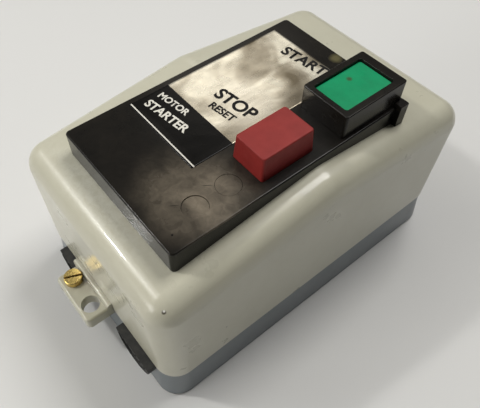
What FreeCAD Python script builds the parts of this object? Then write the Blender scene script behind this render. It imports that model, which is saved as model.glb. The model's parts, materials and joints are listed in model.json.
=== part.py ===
"""Enclosed direct-on-line motor starter, as an assembly of separate pieces.

All sizes are in millimetres. The back face that goes to the wall is at Z = 0 and the front is up, +Z.
+Y is the START end, which is the top when the starter hangs on a wall, and +X is to the right for
a person who faces it. The origin is the centre of the four wall-fixing holes, on the back face.
"""
import FreeCAD, Part
import math
import os
import Sketcher
from FreeCAD import Placement, Rotation, Vector

# Driving dimensions, one sheet cell each.
DIMENSIONS = {
    # enclosure
    "case_width": 106.0,
    "case_length": 169.5,
    "corner_radius": 10.6,
    "seam_height": 20.0,
    "seam_gap": 0.4,
    "tray_flare": 1.6,
    "tray_inset": 0.5,
    "tray_floor": 3.0,
    "tray_wall": 3.6,
    "tray_corner": 7.0,
    "tray_edge_round": 1.0,
    "gasket_width": 2.0,
    "gasket_height": 1.4,
    "cover_apex": 87.5,
    "cover_fall": 9.3,
    "cover_wall": 3.0,
    "shoulder_radius": 10.0,
    "ridge_radius": 20.0,
    # wall fixing
    "fixing_spacing_x": 76.0,
    "fixing_spacing_y": 140.0,
    "fixing_radius": 2.75,
    "fixing_pad_radius": 6.5,
    "fixing_pad_height": 1.5,
    # cable entries in the -Y wall
    "entry_height": 18.5,
    "entry_radius": 10.3,
    "entry_near_x": 28.8,
    "entry_far_x": -23.0,
    "plug_radius": 12.9,
    "plug_reach": 3.9,
    "plug_lip_radius": 12.0,
    "plug_lip": 2.0,
    "plug_ring": 0.4,
    # lugs and the cover screw
    "lug_left": -20.5,
    "lug_right": 8.5,
    "lug_reach": 13.45,
    "lug_top": 24.0,
    "lug_thick": 6.5,
    "lug_corner": 2.5,
    "lug_edge": 1.2,
    "lug_rib_height": 2.5,
    "lug_rib_depth": 2.6,
    "lock_x": 1.3,
    "lock_reach": 7.35,
    "lock_radius": 4.3,
    "screw_x": -14.4,
    "screw_reach": 6.95,
    "tray_lug_left": -19.5,
    "tray_lug_arm": -9.9,
    "tray_lug_right": -5.9,
    "tray_lug_thick": 4.8,
    "tray_lug_reach": 10.85,
    "tray_lug_clear": 4.6,
    "screw_head_radius": 4.3,
    "screw_head_height": 3.0,
    "screw_radius": 2.5,
    "screw_length": 12.0,
    "screw_slot_width": 1.1,
    "screw_slot_depth": 1.4,
    "screw_slot_angle": 38.0,
    "screw_head_round": 0.4,
    # hooks at the +Y end
    "hook_x": 30.0,
    "hook_width": 12.0,
    "hook_axis_y": 86.6,
    "hook_axis_z": 14.6,
    "hook_bead_radius": 1.2,
    "hook_bead_gap": 0.1,
    "hook_ledge_rise": 0.6,
    "hook_ledge_reach": 1.8,
    "hook_ledge_thick": 3.0,
    "hook_back": 4.8,
    "hook_thick": 2.2,
    "hook_top": 23.0,
    # fascia and what it carries
    "fascia_left": -33.6,
    "fascia_right": 39.8,
    "fascia_low": -68.5,
    "fascia_high": 51.5,
    "fascia_top": 91.5,
    "fascia_wall": 2.2,
    "fascia_corner": 2.0,
    "fascia_edge": 0.7,
    "fascia_boss_radius": 3.2,
    "label_left": -30.4,
    "label_right": 13.3,
    "label_low": -40.1,
    "label_high": 40.9,
    "label_thick": 0.3,
    "blank_radius": 5.2,
    "blank_a_x": 27.9,
    "blank_a_y": -34.2,
    "blank_b_x": 28.2,
    "blank_b_y": -49.7,
    "blank_a_sink": 0.08,
    "blank_b_sink": 0.4,
    "blank_gap": 0.15,
    "catch_x": 38.5,
    "catch_y": 44.6,
    "catch_width": 3.5,
    "catch_length": 4.6,
    "catch_top": 93.4,
    "catch_peg": 1.0,
    "catch_nib": 1.9,
    # window in the cover under the buttons
    "window_left": 4.0,
    "window_right": 38.0,
    "window_low": -28.0,
    "window_high": 49.0,
    # buttons
    "stop_x": 26.15,
    "stop_y": -10.85,
    "stop_width": 17.5,
    "stop_length": 26.3,
    "stop_top": 102.6,
    "stop_taper": 3.7,
    "start_x": 26.1,
    "start_y": 31.0,
    "start_width": 17.5,
    "start_length": 26.9,
    "start_top": 101.7,
    "start_travel": 3.5,
    "button_gap": 0.15,
    "button_corner": 1.2,
    "button_edge": 0.6,
    "skirt_bottom": 86.0,
    "flange_bottom": 85.0,
    "flange_top": 86.5,
    "flange_step": 1.0,
    "stem_radius": 3.0,
    "stem_bottom": 64.0,
    "collar_bottom": 86.6,
    "collar_wall": 1.4,
    "shroud_left": 14.1,
    "shroud_right": 38.2,
    "shroud_low": 14.7,
    "shroud_high": 49.0,
    "shroud_top": 102.8,
    "shroud_edge": 0.5,
    "guide_left": 5.0,
    "guide_right": 37.0,
    "guide_low": -27.0,
    "guide_high": 48.0,
    "guide_bottom": 70.0,
    "guide_thick": 2.0,
    "guide_rim": 2.5,
    "guide_boss_x": 10.2,
    "guide_boss_low": -20.0,
    "guide_boss_high": 38.0,
    "guide_boss_mid": 9.9,
    "button_spring_radius": 4.4,
    "button_spring_wire": 0.45,
    "running_gap": 0.06,
    "seat_gap": 0.05,
    # small fixings
    "m3_head_radius": 2.7,
    "m3_head_height": 2.0,
    "m3_radius": 1.25,
    "m4_head_radius": 3.4,
    "m4_head_height": 2.2,
    "m4_radius": 1.8,
    "thread_gap": 0.05,
    "pass_gap": 0.3,
    "foot_width": 8.0,
    "foot_thick": 3.0,
    "foot_screw_length": 5.5,
    "fascia_screw_length": 8.0,
    "guide_screw_length": 7.0,
    "terminal_screw_length": 4.0,
    # chassis
    "chassis_width": 88.0,
    "chassis_length": 124.0,
    "chassis_bottom": 6.0,
    "chassis_thick": 1.6,
    "chassis_corner": 3.0,
    "chassis_fixing_x": 39.0,
    "chassis_fixing_y": 58.0,
    "chassis_boss_radius": 4.5,
    "chassis_screw_length": 6.2,
    "earth_x": 30.0,
    "earth_y": -42.0,
    "earth_clamp": 9.0,
    # contactor
    "relay_left": -43.0,
    "relay_right": 9.0,
    "mould_wall": 2.4,
    "mould_floor": 2.0,
    "contactor_low": 2.0,
    "contactor_high": 54.0,
    "contactor_split": 34.0,
    "contactor_top": 66.0,
    "contactor_foot_x": 13.0,
    "contactor_foot_y": 7.0,
    "end_foot_x": -25.0,
    "deck_top": 47.5,
    "deck_thick": 2.0,
    "deck_depth": 9.0,
    "throat_half": 9.5,
    "barrier_thick": 1.6,
    "barrier_slot": 6.5,
    "pole_first": -35.0,
    "pole_pitch": 12.0,
    "magnet_width": 42.0,
    "magnet_stack": 16.0,
    "yoke_back": 5.0,
    "yoke_height": 20.4,
    "outer_leg": 6.0,
    "centre_leg": 12.0,
    "ring_depth": 1.5,
    "ring_width": 1.0,
    "ring_height": 1.4,
    "contactor_travel": 5.0,
    "armature_thick": 5.95,
    "armature_pin_radius": 1.5,
    "bobbin_tube": 1.0,
    "bobbin_fit": 0.3,
    "bobbin_flange": 1.2,
    "bobbin_half_x": 14.4,
    "bobbin_half_y": 16.2,
    "bobbin_top": 29.0,
    "coil_half_x": 13.6,
    "coil_half_y": 15.5,
    "coil_tab_x": 9.0,
    "coil_tab_width": 5.0,
    "coil_tab_reach": 31.0,
    "saddle_thick": 3.0,
    "cheek_thick": 1.6,
    "cheek_half": 5.0,
    "column_half": 6.0,
    "column_top": 62.0,
    "slide_gap": 0.1,
    "arm_y": 20.0,
    "arm_half": 3.5,
    "bridge_floor": 56.05,
    "bridge_width": 5.0,
    "bridge_reach": 14.0,
    "bridge_thick": 1.2,
    "tip_offset": 12.0,
    "tip_size": 3.0,
    "tip_height": 1.0,
    "window_top": 60.5,
    "contact_spring_radius": 1.8,
    "contact_spring_wire": 0.25,
    "bar_width": 5.0,
    "bar_thick": 1.0,
    "bar_inner": 10.0,
    "fixed_tip_height": 1.5,
    "terminal_inset": 4.5,
    "return_seat": 14.0,
    "return_spigot": 2.0,
    "return_spring_radius": 2.7,
    "return_spring_wire": 0.3,
    # start switch
    "switch_half": 11.0,
    "switch_bottom": 26.0,
    "switch_top": 52.0,
    "switch_wall": 1.6,
    "switch_post": 7.7,
    "switch_post_radius": 2.2,
    "switch_screw_length": 27.8,
    "bracket_half": 8.0,
    "bracket_reach": 13.0,
    "bracket_foot": 8.0,
    "bracket_thick": 1.2,
    "plunger_top": 63.9,
    "plunger_flange": 5.0,
    "plunger_flange_thick": 2.0,
    "plunger_rod": 2.0,
    "plunger_rod_length": 5.0,
    "switch_bar_outer": 15.0,
    "switch_bar_inner": 6.2,
    "switch_bridge_width": 7.0,
    "switch_bridge_reach": 9.2,
    "small_spring_radius": 2.6,
    "small_spring_wire": 0.3,
    # overload relay
    "overload_low": -54.0,
    "overload_high": -2.0,
    "overload_ledge": 11.5,
    "overload_cover_thick": 2.5,
    "heater_height": 26.0,
    "heater_radius": 3.4,
    "heater_wire": 0.4,
    "heater_low": -42.0,
    "heater_high": -21.0,
    "strip_thick": 0.8,
    "strip_width": 4.2,
    "strip_low": -49.0,
    "strip_high": -18.4,
    "strip_post": 5.6,
    "trip_bar_low": -18.0,
    "trip_bar_high": -15.5,
    "trip_bar_bottom": 22.0,
    "trip_bar_top": 29.2,
    "trip_tooth": 2.5,
    "trip_axis_x": 19.0,
    "trip_axis_z": 15.0,
    "trip_nose_bottom": 25.0,
    "trip_nose_top": 27.0,
    "lever_half": 1.0,
    "lever_hub": 2.5,
    "lever_top": 30.0,
    "trip_pin_radius": 1.0,
    "pin_post": 1.8,
    "pin_post_width": 6.0,
    "dial_x": 1.0,
    "dial_y": -30.0,
    "dial_radius": 6.0,
    "dial_height": 3.0,
    "dial_shaft": 2.0,
    "stop_block_half": 12.5,
    "stop_contact_floor": 40.0,
    "reset_seat": 22.0,
    "reset_seat_radius": 3.5,
    "cover_boss_radius": 3.0,
    "cover_screw_length": 8.0,
    "wire_radius": 1.0,
}


class Size:
    """A length with the sheet expression that gives it, so that arithmetic keeps the two together."""

    def __init__(self, value, text):
        self.value = float(value)
        self.text = text

    @staticmethod
    def of(other):
        return other if isinstance(other, Size) else Size(other, repr(float(other)))

    def __add__(self, other):
        other = Size.of(other)
        return Size(self.value + other.value, f"({self.text} + {other.text})")

    def __sub__(self, other):
        other = Size.of(other)
        return Size(self.value - other.value, f"({self.text} - {other.text})")

    def __mul__(self, other):
        other = Size.of(other)
        return Size(self.value * other.value, f"({self.text} * {other.text})")

    def __truediv__(self, other):
        other = Size.of(other)
        return Size(self.value / other.value, f"({self.text} / {other.text})")

    def __radd__(self, other):
        return Size.of(other) + self

    def __rsub__(self, other):
        return Size.of(other) - self

    def __rmul__(self, other):
        return Size.of(other) * self

    def __neg__(self):
        return Size.of(0) - self


class Sheet:
    """The document's spreadsheet, whose aliases read as attributes."""

    def __init__(self, document, dimensions):
        cells = document.addObject("Spreadsheet::Sheet", "dims")
        for row, (alias, value) in enumerate(dimensions.items(), start=1):
            cells.set(f"A{row}", alias)
            cells.set(f"B{row}", str(value))
            cells.setAlias(f"B{row}", alias)
            setattr(self, alias, Size(value, f"dims.{alias}"))


doc = FreeCAD.newDocument("motor_starter")
d = Sheet(doc, DIMENSIONS)
doc.recompute()
nodes = []


# ---------------------------------------------------------------- building blocks

def bind(obj, prop, size):
    """Tie a property to the sheet, or set it where it is a plain number."""
    if isinstance(size, Size):
        obj.setExpression(prop, size.text)
    elif size:
        obj.setExpression(prop, repr(float(size)))


def place(obj, x, y, z):
    for axis, size in zip("xyz", (x, y, z)):
        bind(obj, f"Placement.Base.{axis}", size)


def block(x, y, z):
    """A box between a low and a high plane on each axis."""
    obj = doc.addObject("Part::Box", "block")
    for prop, (low, high) in zip(("Length", "Width", "Height"), (x, y, z)):
        bind(obj, prop, high - low)
    place(obj, x[0], y[0], z[0])
    return obj


def around(centre, width):
    """The low and high planes of a width that is centred."""
    return centre - width / 2, centre + width / 2


def between(first, second):
    """Two planes, the lower one first."""
    return (first, second) if first.value < second.value else (second, first)


TURN = {
    "X": Rotation(Vector(0, 1, 0), 90),
    "Y": Rotation(Vector(1, 0, 0), -90),
    "Z": Rotation(),
}


def rod(x, y, z, radius, axis="Z"):
    """A cylinder. The entry on its own axis is the pair of planes that it runs between."""
    obj = doc.addObject("Part::Cylinder", "rod")
    obj.Placement = Placement(Vector(), TURN[axis])
    low, high = {"X": x, "Y": y, "Z": z}[axis]
    bind(obj, "Radius", radius)
    bind(obj, "Height", high - low)
    start = {"X": (low, y, z), "Y": (x, low, z), "Z": (x, y, low)}[axis]
    place(obj, *start)
    return obj


def fuse(*pieces):
    obj = doc.addObject("Part::MultiFuse", "fuse")
    obj.Shapes = list(pieces)
    return obj


def cut(base, *tools):
    obj = doc.addObject("Part::Cut", "cut")
    obj.Base = base
    obj.Tool = tools[0] if len(tools) == 1 else fuse(*tools)
    return obj


def group(*pieces):
    """Separate solids that share one node."""
    obj = doc.addObject("Part::Compound", "group")
    obj.Links = list(pieces)
    return obj


def node(name, obj):
    """Give a finished piece its name and put it on the list of pieces to write."""
    obj.Label = name
    nodes.append(obj)
    return obj


def rounded(base, radius, pick):
    """A Part fillet on the edges that pick() chooses."""
    doc.recompute()
    edges = [i for i, edge in enumerate(base.Shape.Edges, start=1) if pick(edge)]
    obj = doc.addObject("Part::Fillet", "rounded")
    obj.Base = base
    obj.Edges = [(i, radius.value, radius.value) for i in edges]
    return obj


def new_body(name):
    return doc.addObject("PartDesign::Body", name)


def sketch_on(body, role, lift):
    """A sketch on one of the body's own origin planes, lifted along the plane's normal."""
    sketch = body.newObject("Sketcher::SketchObject", "sketch")
    plane = next(f for f in body.Origin.OriginFeatures if f.Role == role)
    sketch.AttachmentSupport = (plane, [""])
    sketch.MapMode = "FlatFace"
    bind(sketch, "AttachmentOffset.Base.z", lift)
    return sketch


def pin_point(sketch, element, point, x, y):
    """Hold a point of a sketch at sheet distances from the origin."""
    for kind, size in (("DistanceX", x), ("DistanceY", y)):
        size = Size.of(size)
        index = sketch.addConstraint(Sketcher.Constraint(kind, -1, 1, element, point, size.value))
        sketch.setExpression(f"Constraints[{index}]", size.text)


def polygon(body, role, lift, points):
    """A closed outline of straight sides."""
    sketch = sketch_on(body, role, lift)
    corners = [Vector(Size.of(x).value, Size.of(y).value, 0) for x, y in points]
    count = len(corners)
    for i in range(count):
        sketch.addGeometry(Part.LineSegment(corners[i], corners[(i + 1) % count]), False)
    for i in range(count):
        sketch.addConstraint(Sketcher.Constraint("Coincident", i, 2, (i + 1) % count, 1))
    for i, (x, y) in enumerate(points):
        pin_point(sketch, i, 1, x, y)
    return sketch


def rectangle(body, lift, x, y):
    """An upright rectangle on the XY plane, between two planes each way."""
    return polygon(body, "XY_Plane", lift, [(x[0], y[0]), (x[1], y[0]), (x[1], y[1]), (x[0], y[1])])


def pad(body, sketch, length, taper=None, midplane=False):
    feature = body.newObject("PartDesign::Pad", "pad")
    feature.Profile = sketch
    bind(feature, "Length", length)
    feature.Midplane = midplane
    if taper is not None:
        feature.setExpression("TaperAngle", taper)
    return feature


def pocket(body, sketch, depth):
    feature = body.newObject("PartDesign::Pocket", "pocket")
    feature.Profile = sketch
    bind(feature, "Length", depth)
    return feature


def fillet(body, radius, pick):
    """A PartDesign fillet on the edges of the body's tip that pick() chooses."""
    doc.recompute()
    tip = body.Tip
    names = [f"Edge{i}" for i, edge in enumerate(tip.Shape.Edges, start=1) if pick(edge)]
    feature = body.newObject("PartDesign::Fillet", "fillet")
    feature.Base = (tip, names)
    bind(feature, "Radius", radius)
    return feature


def along(edge, axis):
    """Whether an edge is straight and runs mostly along an axis."""
    start, end = edge.Vertexes[0].Point, edge.Vertexes[-1].Point
    run = end - start
    return run.Length > 0.5 and abs(getattr(run, axis)) > 0.97 * run.Length


def height_of(edge):
    return edge.CenterOfMass.z


def spring(x, y, z, radius, wire, turns):
    """A round-wire compression spring between two seats."""
    low, high = z
    helix = doc.addObject("Part::Helix", "helix")
    bind(helix, "Radius", radius)
    bind(helix, "Height", high - low - 2 * wire - 2 * d.seat_gap)
    bind(helix, "Pitch", (high - low - 2 * wire - 2 * d.seat_gap) / turns)
    place(helix, x, y, low + wire + d.seat_gap)
    profile = doc.addObject("Part::Circle", "wire")
    profile.Placement = Placement(Vector(), Rotation(Vector(1, 0, 0), 90))
    bind(profile, "Radius", wire)
    place(profile, x + radius, y, low + wire + d.seat_gap)
    sweep = doc.addObject("Part::Sweep", "spring")
    sweep.Sections = [profile]
    sweep.Spine = (helix, ["Edge1"])
    sweep.Solid = True
    sweep.Frenet = True
    return sweep


def cheese_screw(x, y, seat, head_radius, head_height, radius, length):
    """A slotted cheese-head screw whose head rests on the plane at seat."""
    head = rod(x, y, (seat, seat + head_height), head_radius)
    shank = rod(x, y, (seat - length, seat), radius)
    slot_depth = head_height * 0.45
    slot = block(around(x, 2 * head_radius + 1), around(y, head_radius * 0.26),
                 (seat + head_height - slot_depth, seat + head_height + 1))
    return cut(fuse(head, shank), slot)


def m3_screw(x, y, seat, length):
    return cheese_screw(x, y, seat, d.m3_head_radius, d.m3_head_height, d.m3_radius, length)


def m4_screw(x, y, seat, length):
    return cheese_screw(x, y, seat, d.m4_head_radius, d.m4_head_height, d.m4_radius, length)


# ---------------------------------------------------------------- shared planes

half_x = d.case_width / 2
half_y = d.case_length / 2
rim_height = d.seam_height - d.seam_gap
rim_x = half_x - d.tray_inset
rim_y = half_y - d.tray_inset
inner_x = rim_x - d.tray_wall
inner_y = rim_y - d.tray_wall
seat_height = d.seam_height - d.gasket_height
chassis_top = d.chassis_bottom + d.chassis_thick
end_face = -half_y
lug_bottom = d.lug_top - d.lug_thick
guide_top = d.guide_bottom + d.guide_thick
pole_x = [d.pole_first + i * d.pole_pitch for i in range(4)]
magnet_x = d.pole_first + 1.5 * d.pole_pitch
magnet_y = (d.contactor_low + d.contactor_high) / 2


def circles(body, role, lift, centres, radius):
    """A sketch of equal circles at sheet positions."""
    sketch = sketch_on(body, role, lift)
    for i, (x, y) in enumerate(centres):
        centre = Vector(Size.of(x).value, Size.of(y).value, 0)
        sketch.addGeometry(Part.Circle(centre, Vector(0, 0, 1), radius.value), False)
        pin_point(sketch, i, 3, x, y)
        index = sketch.addConstraint(Sketcher.Constraint("Radius", i, radius.value))
        sketch.setExpression(f"Constraints[{index}]", radius.text)
    return sketch


def rounded_block(x, y, z, radius):
    """A box whose upright edges are rounded."""
    return rounded(block(x, y, z), radius, lambda edge: along(edge, "z"))


# ---------------------------------------------------------------- enclosure

def base_tray():
    body = new_body("tray_form")
    foot_x = rim_x + d.tray_flare
    foot_y = rim_y + d.tray_flare
    outline = rectangle(body, 0, (-foot_x, foot_x), (-foot_y, foot_y))
    pad(body, outline, rim_height, taper=f"-atan({d.tray_flare.text} / {rim_height.text})")
    fillet(body, d.corner_radius, lambda edge: along(edge, "z"))
    fillet(body, d.tray_edge_round, lambda edge: height_of(edge) < 0.01)

    # the lug that takes the cover screw goes round the cable plug beside it
    lug_low = end_face - d.tray_lug_reach
    lug_top = lug_bottom - d.pass_gap
    wall_in = end_face + 1
    clear = end_face - d.tray_lug_clear
    outline = polygon(body, "XY_Plane", lug_top - d.tray_lug_thick, [
        (d.tray_lug_left, lug_low), (d.tray_lug_right, lug_low), (d.tray_lug_right, wall_in),
        (d.tray_lug_arm, wall_in), (d.tray_lug_arm, clear), (d.tray_lug_left, clear)])
    pad(body, outline, d.tray_lug_thick)

    # ledges that the cover's hooks turn under
    ledge_bottom = d.hook_axis_z + d.hook_ledge_rise
    ledge_end = d.hook_axis_y + d.hook_ledge_reach
    for x in (-d.hook_x, d.hook_x):
        outline = rectangle(body, ledge_bottom, around(x, d.hook_width), (half_y - 1, ledge_end))
        pad(body, outline, d.hook_ledge_thick)

    pocket(body, rectangle(body, rim_height, (-inner_x, inner_x), (-inner_y, inner_y)),
           rim_height - d.tray_floor)
    near_corner = inner_x.value + inner_y.value - 0.1
    fillet(body, d.tray_corner, lambda edge: along(edge, "z") and abs(
        abs(edge.CenterOfMass.x) + abs(edge.CenterOfMass.y) - near_corner) < 0.3)

    # bosses for the chassis and raised rings round the wall-fixing holes
    boss_at = [(x, y) for x in (-d.chassis_fixing_x, d.chassis_fixing_x)
               for y in (-d.chassis_fixing_y, d.chassis_fixing_y)]
    hole_at = [(x, y) for x in (-d.fixing_spacing_x / 2, d.fixing_spacing_x / 2)
               for y in (-d.fixing_spacing_y / 2, d.fixing_spacing_y / 2)]
    low = d.tray_floor - 1
    pad(body, circles(body, "XY_Plane", low, boss_at, d.chassis_boss_radius), d.chassis_bottom - low)
    pad(body, circles(body, "XY_Plane", low, hole_at, d.fixing_pad_radius), d.fixing_pad_height + 1)
    top = d.tray_floor + d.fixing_pad_height
    pocket(body, circles(body, "XY_Plane", top, hole_at, d.fixing_radius), top)
    pocket(body, circles(body, "XY_Plane", d.chassis_bottom, boss_at, d.m4_radius + d.thread_gap),
           d.chassis_bottom - 1)
    pocket(body, circles(body, "XY_Plane", lug_top, [(d.screw_x, end_face - d.screw_reach)],
                         d.screw_radius + d.pass_gap), d.tray_lug_thick)

    # notches for the cable plugs
    entries = [(d.entry_near_x, d.entry_height), (d.entry_far_x, d.entry_height)]
    pocket(body, circles(body, "XZ_Plane", half_y + 2.5, entries, d.entry_radius), Size.of(8))

    # grooves that the hook beads turn in
    groove_reach = d.hook_width / 2 + 1
    for x in (-d.hook_x, d.hook_x):
        sketch = circles(body, "YZ_Plane", x + groove_reach, [(d.hook_axis_y, d.hook_axis_z)],
                         d.hook_bead_radius + d.hook_bead_gap)
        pocket(body, sketch, 2 * groove_reach)

    rebate_x = inner_x + d.gasket_width
    rebate_y = inner_y + d.gasket_width
    rebate = rounded_block((-rebate_x, rebate_x), (-rebate_y, rebate_y),
                           (seat_height, rim_height + 1), d.tray_corner + d.gasket_width)
    return node("base_tray", cut(body, rebate))


def seam_gasket():
    z = (seat_height, d.seam_height)
    inside = (inner_x + 0.2, inner_y + 0.2)
    outside = (inner_x + d.gasket_width, inner_y + d.gasket_width)
    ring = rounded_block((-outside[0], outside[0]), (-outside[1], outside[1]), z,
                         d.tray_corner + d.gasket_width)
    room = rounded_block((-inside[0], inside[0]), (-inside[1], inside[1]),
                         (z[0] - 1, z[1] + 1), d.tray_corner)
    return node("seam_gasket", cut(ring, room))


def cable_plug(x):
    """A rubber blank that slides down into a notch, with a lip on each side of the wall."""
    face = end_face - d.plug_reach
    wall_face = -(rim_y + d.tray_flare)
    lip_face = -inner_y
    flange = rod(x, (face, end_face + 1), d.entry_height, d.plug_radius, "Y")
    flange = rounded(flange, d.plug_ring, lambda edge: edge.CenterOfMass.y < face.value + 0.01)
    wall = block(around(x, 4 * d.plug_radius), (wall_face, wall_face + 40), (Size.of(0), Size.of(60)))
    wall.Placement = Placement(wall.Placement.Base, Rotation(Vector(-1, 0, 0), 5))
    wall.setExpression("Placement.Rotation.Angle", f"atan({d.tray_flare.text} / {rim_height.text})")
    web = rod(x, (end_face - 0.5, lip_face + 1), d.entry_height, d.entry_radius - 0.1, "Y")
    lip = rod(x, (lip_face + d.seat_gap, lip_face + d.plug_lip), d.entry_height,
              d.plug_lip_radius, "Y")
    rings = [
        cut(rod(x, (face - d.plug_ring, face + 0.1), d.entry_height, radius + d.plug_ring, "Y"),
            rod(x, (face - d.plug_ring - 1, face + 1), d.entry_height, radius, "Y"))
        for radius in (d.plug_radius * 0.25, d.plug_radius * 0.5, d.plug_radius * 0.75)]
    whole = fuse(cut(flange, wall), web, lip, *rings)
    reach = around(x, 4 * d.plug_radius)
    above_rim = block(reach, (face - 5, lip_face + 10), (rim_height - 0.1, Size.of(60)))
    gasket_side = -(inner_y + d.gasket_width) - d.seat_gap
    above_seat = block(reach, (gasket_side, lip_face + 10), (seat_height - d.seat_gap, Size.of(60)))
    return cut(whole, above_rim, above_seat)


def gable_body(name, margin, low):
    """The cover's outer form, or with a margin the room inside it."""
    body = new_body(name)
    end = half_y - margin
    apex = d.cover_apex - margin
    eaves = apex - d.cover_fall * end / half_y
    profile = polygon(body, "YZ_Plane", 0, [
        (-end, low), (end, low), (end, eaves), (Size.of(0), apex), (-end, eaves)])
    pad(body, profile, 2 * (half_x - margin), midplane=True)
    fillet(body, d.corner_radius - margin, lambda edge: along(edge, "z"))
    ridge = apex.value - 0.01
    fillet(body, d.ridge_radius, lambda edge: height_of(edge) > ridge and along(edge, "x"))
    upper = low.value + 10
    fillet(body, d.shoulder_radius - margin, lambda edge: edge.BoundBox.ZMin > upper and not (
        abs(edge.CenterOfMass.x) < 1 and abs(edge.CenterOfMass.y) < 5))
    return body


def cover_lug():
    """The lug at the -Y end with the screw and padlock holes, and the rib at its root."""
    y = (end_face - d.lug_reach, end_face + 1)
    lug = rounded(block((d.lug_left, d.lug_right), y, (lug_bottom, d.lug_top)), d.lug_corner,
                  lambda edge: along(edge, "z") and edge.CenterOfMass.y < end_face.value)
    lug = rounded(lug, d.lug_edge, lambda edge: abs(height_of(edge) - d.lug_top.value) < 0.01
                  and edge.CenterOfMass.y < end_face.value)
    rib = block((d.lug_left - 1.5, d.lug_right), (end_face - d.lug_rib_depth, end_face + 1),
                (d.seam_height, d.lug_top + d.lug_rib_height))
    rib = rounded(rib, d.lug_edge, lambda edge: edge.CenterOfMass.y < end_face.value - 1
                  and height_of(edge) > d.lug_top.value)
    return fuse(lug, rib)


def cover_hook(x):
    """An arm down the outside of the end wall with a bead that turns under the tray's ledge."""
    wide = around(x, d.hook_width)
    axis = (d.hook_axis_y, d.hook_axis_z)
    back = axis[0] + d.hook_back
    foot = (axis[1] - d.hook_bead_radius, axis[1] + d.pass_gap)
    bead = rod(wide, axis[0], axis[1], d.hook_bead_radius, "X")
    arm = block(wide, (axis[0], back), foot)
    upright = block(wide, (back - d.hook_thick, back), (foot[0], d.hook_top))
    bridge = block(wide, (half_y - 1, back), (d.hook_top - d.hook_thick, d.hook_top))
    return fuse(bead, arm, upright, bridge)


def roof_at(y):
    """The height of the cover's outer face at a distance from the ridge."""
    side = y if y.value > 0 else -y
    return d.cover_apex - d.cover_fall * side / half_y


fascia_fixings = [
    (d.fascia_left + 5.6, d.fascia_low + 6.5),
    (d.fascia_right - 5.8, d.fascia_low + 6.5),
    (d.fascia_left + 5.6, d.fascia_high - 6.5),
    (d.window_left - 8, d.fascia_high - 6.5),
]


def fixing_seat(y):
    """The flat face inside the cover that a fascia screw pulls up against."""
    return roof_at(y) - d.cover_wall - 1.5


catch_peg_x = d.fascia_right + 1.1


def cover_shell(outer):
    inner = gable_body("cover_room", d.cover_wall, d.seam_height - 5)
    shell = cut(outer, inner)
    bosses = [rod(x, y, (fixing_seat(y), roof_at(y) - 1), d.m4_head_radius + 0.8)
              for x, y in fascia_fixings]
    hooks = [cover_hook(x) for x in (-d.hook_x, d.hook_x)]
    whole = fuse(shell, cover_lug(), *hooks, *bosses)
    screw_y = end_face - d.screw_reach
    lug_span = (d.seam_height - 10, d.lug_top + 10)
    roof_span = (d.seam_height + 40, d.cover_apex + 5)
    holes = [rod(x, y, roof_span, d.m3_radius + d.pass_gap) for x, y in fascia_fixings]
    holes.append(rod(d.lock_x, end_face - d.lock_reach, lug_span, d.lock_radius))
    holes.append(rod(d.screw_x, screw_y, lug_span, d.screw_radius + d.running_gap))
    window = block((d.window_left, d.window_right), (d.window_low, d.window_high), roof_span)
    plug_room = block((d.lug_left - 5, d.entry_far_x + d.plug_radius + 0.5),
                      (end_face - d.plug_reach - d.plug_ring - 0.3, end_face - 0.001),
                      (lug_bottom - 1, d.seam_height + 0.1))
    under_lug = block((d.lug_left - 5, d.lug_right + 5), (end_face - 0.1, end_face + 5),
                      (lug_bottom - 1, d.seam_height))
    peg = rod(catch_peg_x, d.catch_y + d.catch_length / 2,
              roof_span, d.catch_peg + d.thread_gap)
    return node("cover_shell", cut(whole, *holes, window, plug_room, under_lug, peg))


def cover_screw():
    x, y = d.screw_x, end_face - d.screw_reach
    head = rod(x, y, (d.lug_top, d.lug_top + d.screw_head_height), d.screw_head_radius)
    head = rounded(head, d.screw_head_round,
                   lambda edge: height_of(edge) > d.lug_top.value + 1 and len(edge.Vertexes) == 1)
    shank = rod(x, y, (d.lug_top - d.screw_length, d.lug_top), d.screw_radius)
    top = d.lug_top + d.screw_head_height
    slot = doc.addObject("Part::Box", "slot")
    bind(slot, "Length", 4 * d.screw_head_radius)
    bind(slot, "Width", d.screw_slot_width)
    bind(slot, "Height", d.screw_slot_depth + 1)
    slot.Placement = Placement(Vector(), Rotation(Vector(0, 0, 1), 10))
    slot.setExpression("Placement.Rotation.Angle", d.screw_slot_angle.text)
    angle = d.screw_slot_angle.text
    long = 2 * d.screw_head_radius
    wide = d.screw_slot_width / 2
    place(slot,
          Size(0, f"{x.text} - {long.text} * cos({angle}) + {wide.text} * sin({angle})"),
          Size(0, f"{y.text} - {long.text} * sin({angle}) - {wide.text} * cos({angle})"),
          top - d.screw_slot_depth)
    return node("cover_screw", cut(fuse(head, shank), slot))


# ---------------------------------------------------------------- fascia and buttons

guide_fixings = [
    (d.guide_boss_x, d.guide_boss_low),
    (d.guide_boss_x, d.guide_boss_high),
    (d.stop_x, d.guide_boss_mid),
]
blanks = [(d.blank_a_x, d.blank_a_y), (d.blank_b_x, d.blank_b_y)]


def opening(x, y, width, length, margin, z, corner):
    """An upright rounded block round a button, wider than it by a margin all round."""
    return rounded_block(around(x, width + 2 * margin), around(y, length + 2 * margin), z, corner)


def stop_opening(margin, z, corner):
    return opening(d.stop_x, d.stop_y, d.stop_width, d.stop_length, margin, z, corner)


def start_opening(margin, z, corner):
    return opening(d.start_x, d.start_y, d.start_width, d.start_length, margin, z, corner)


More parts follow.
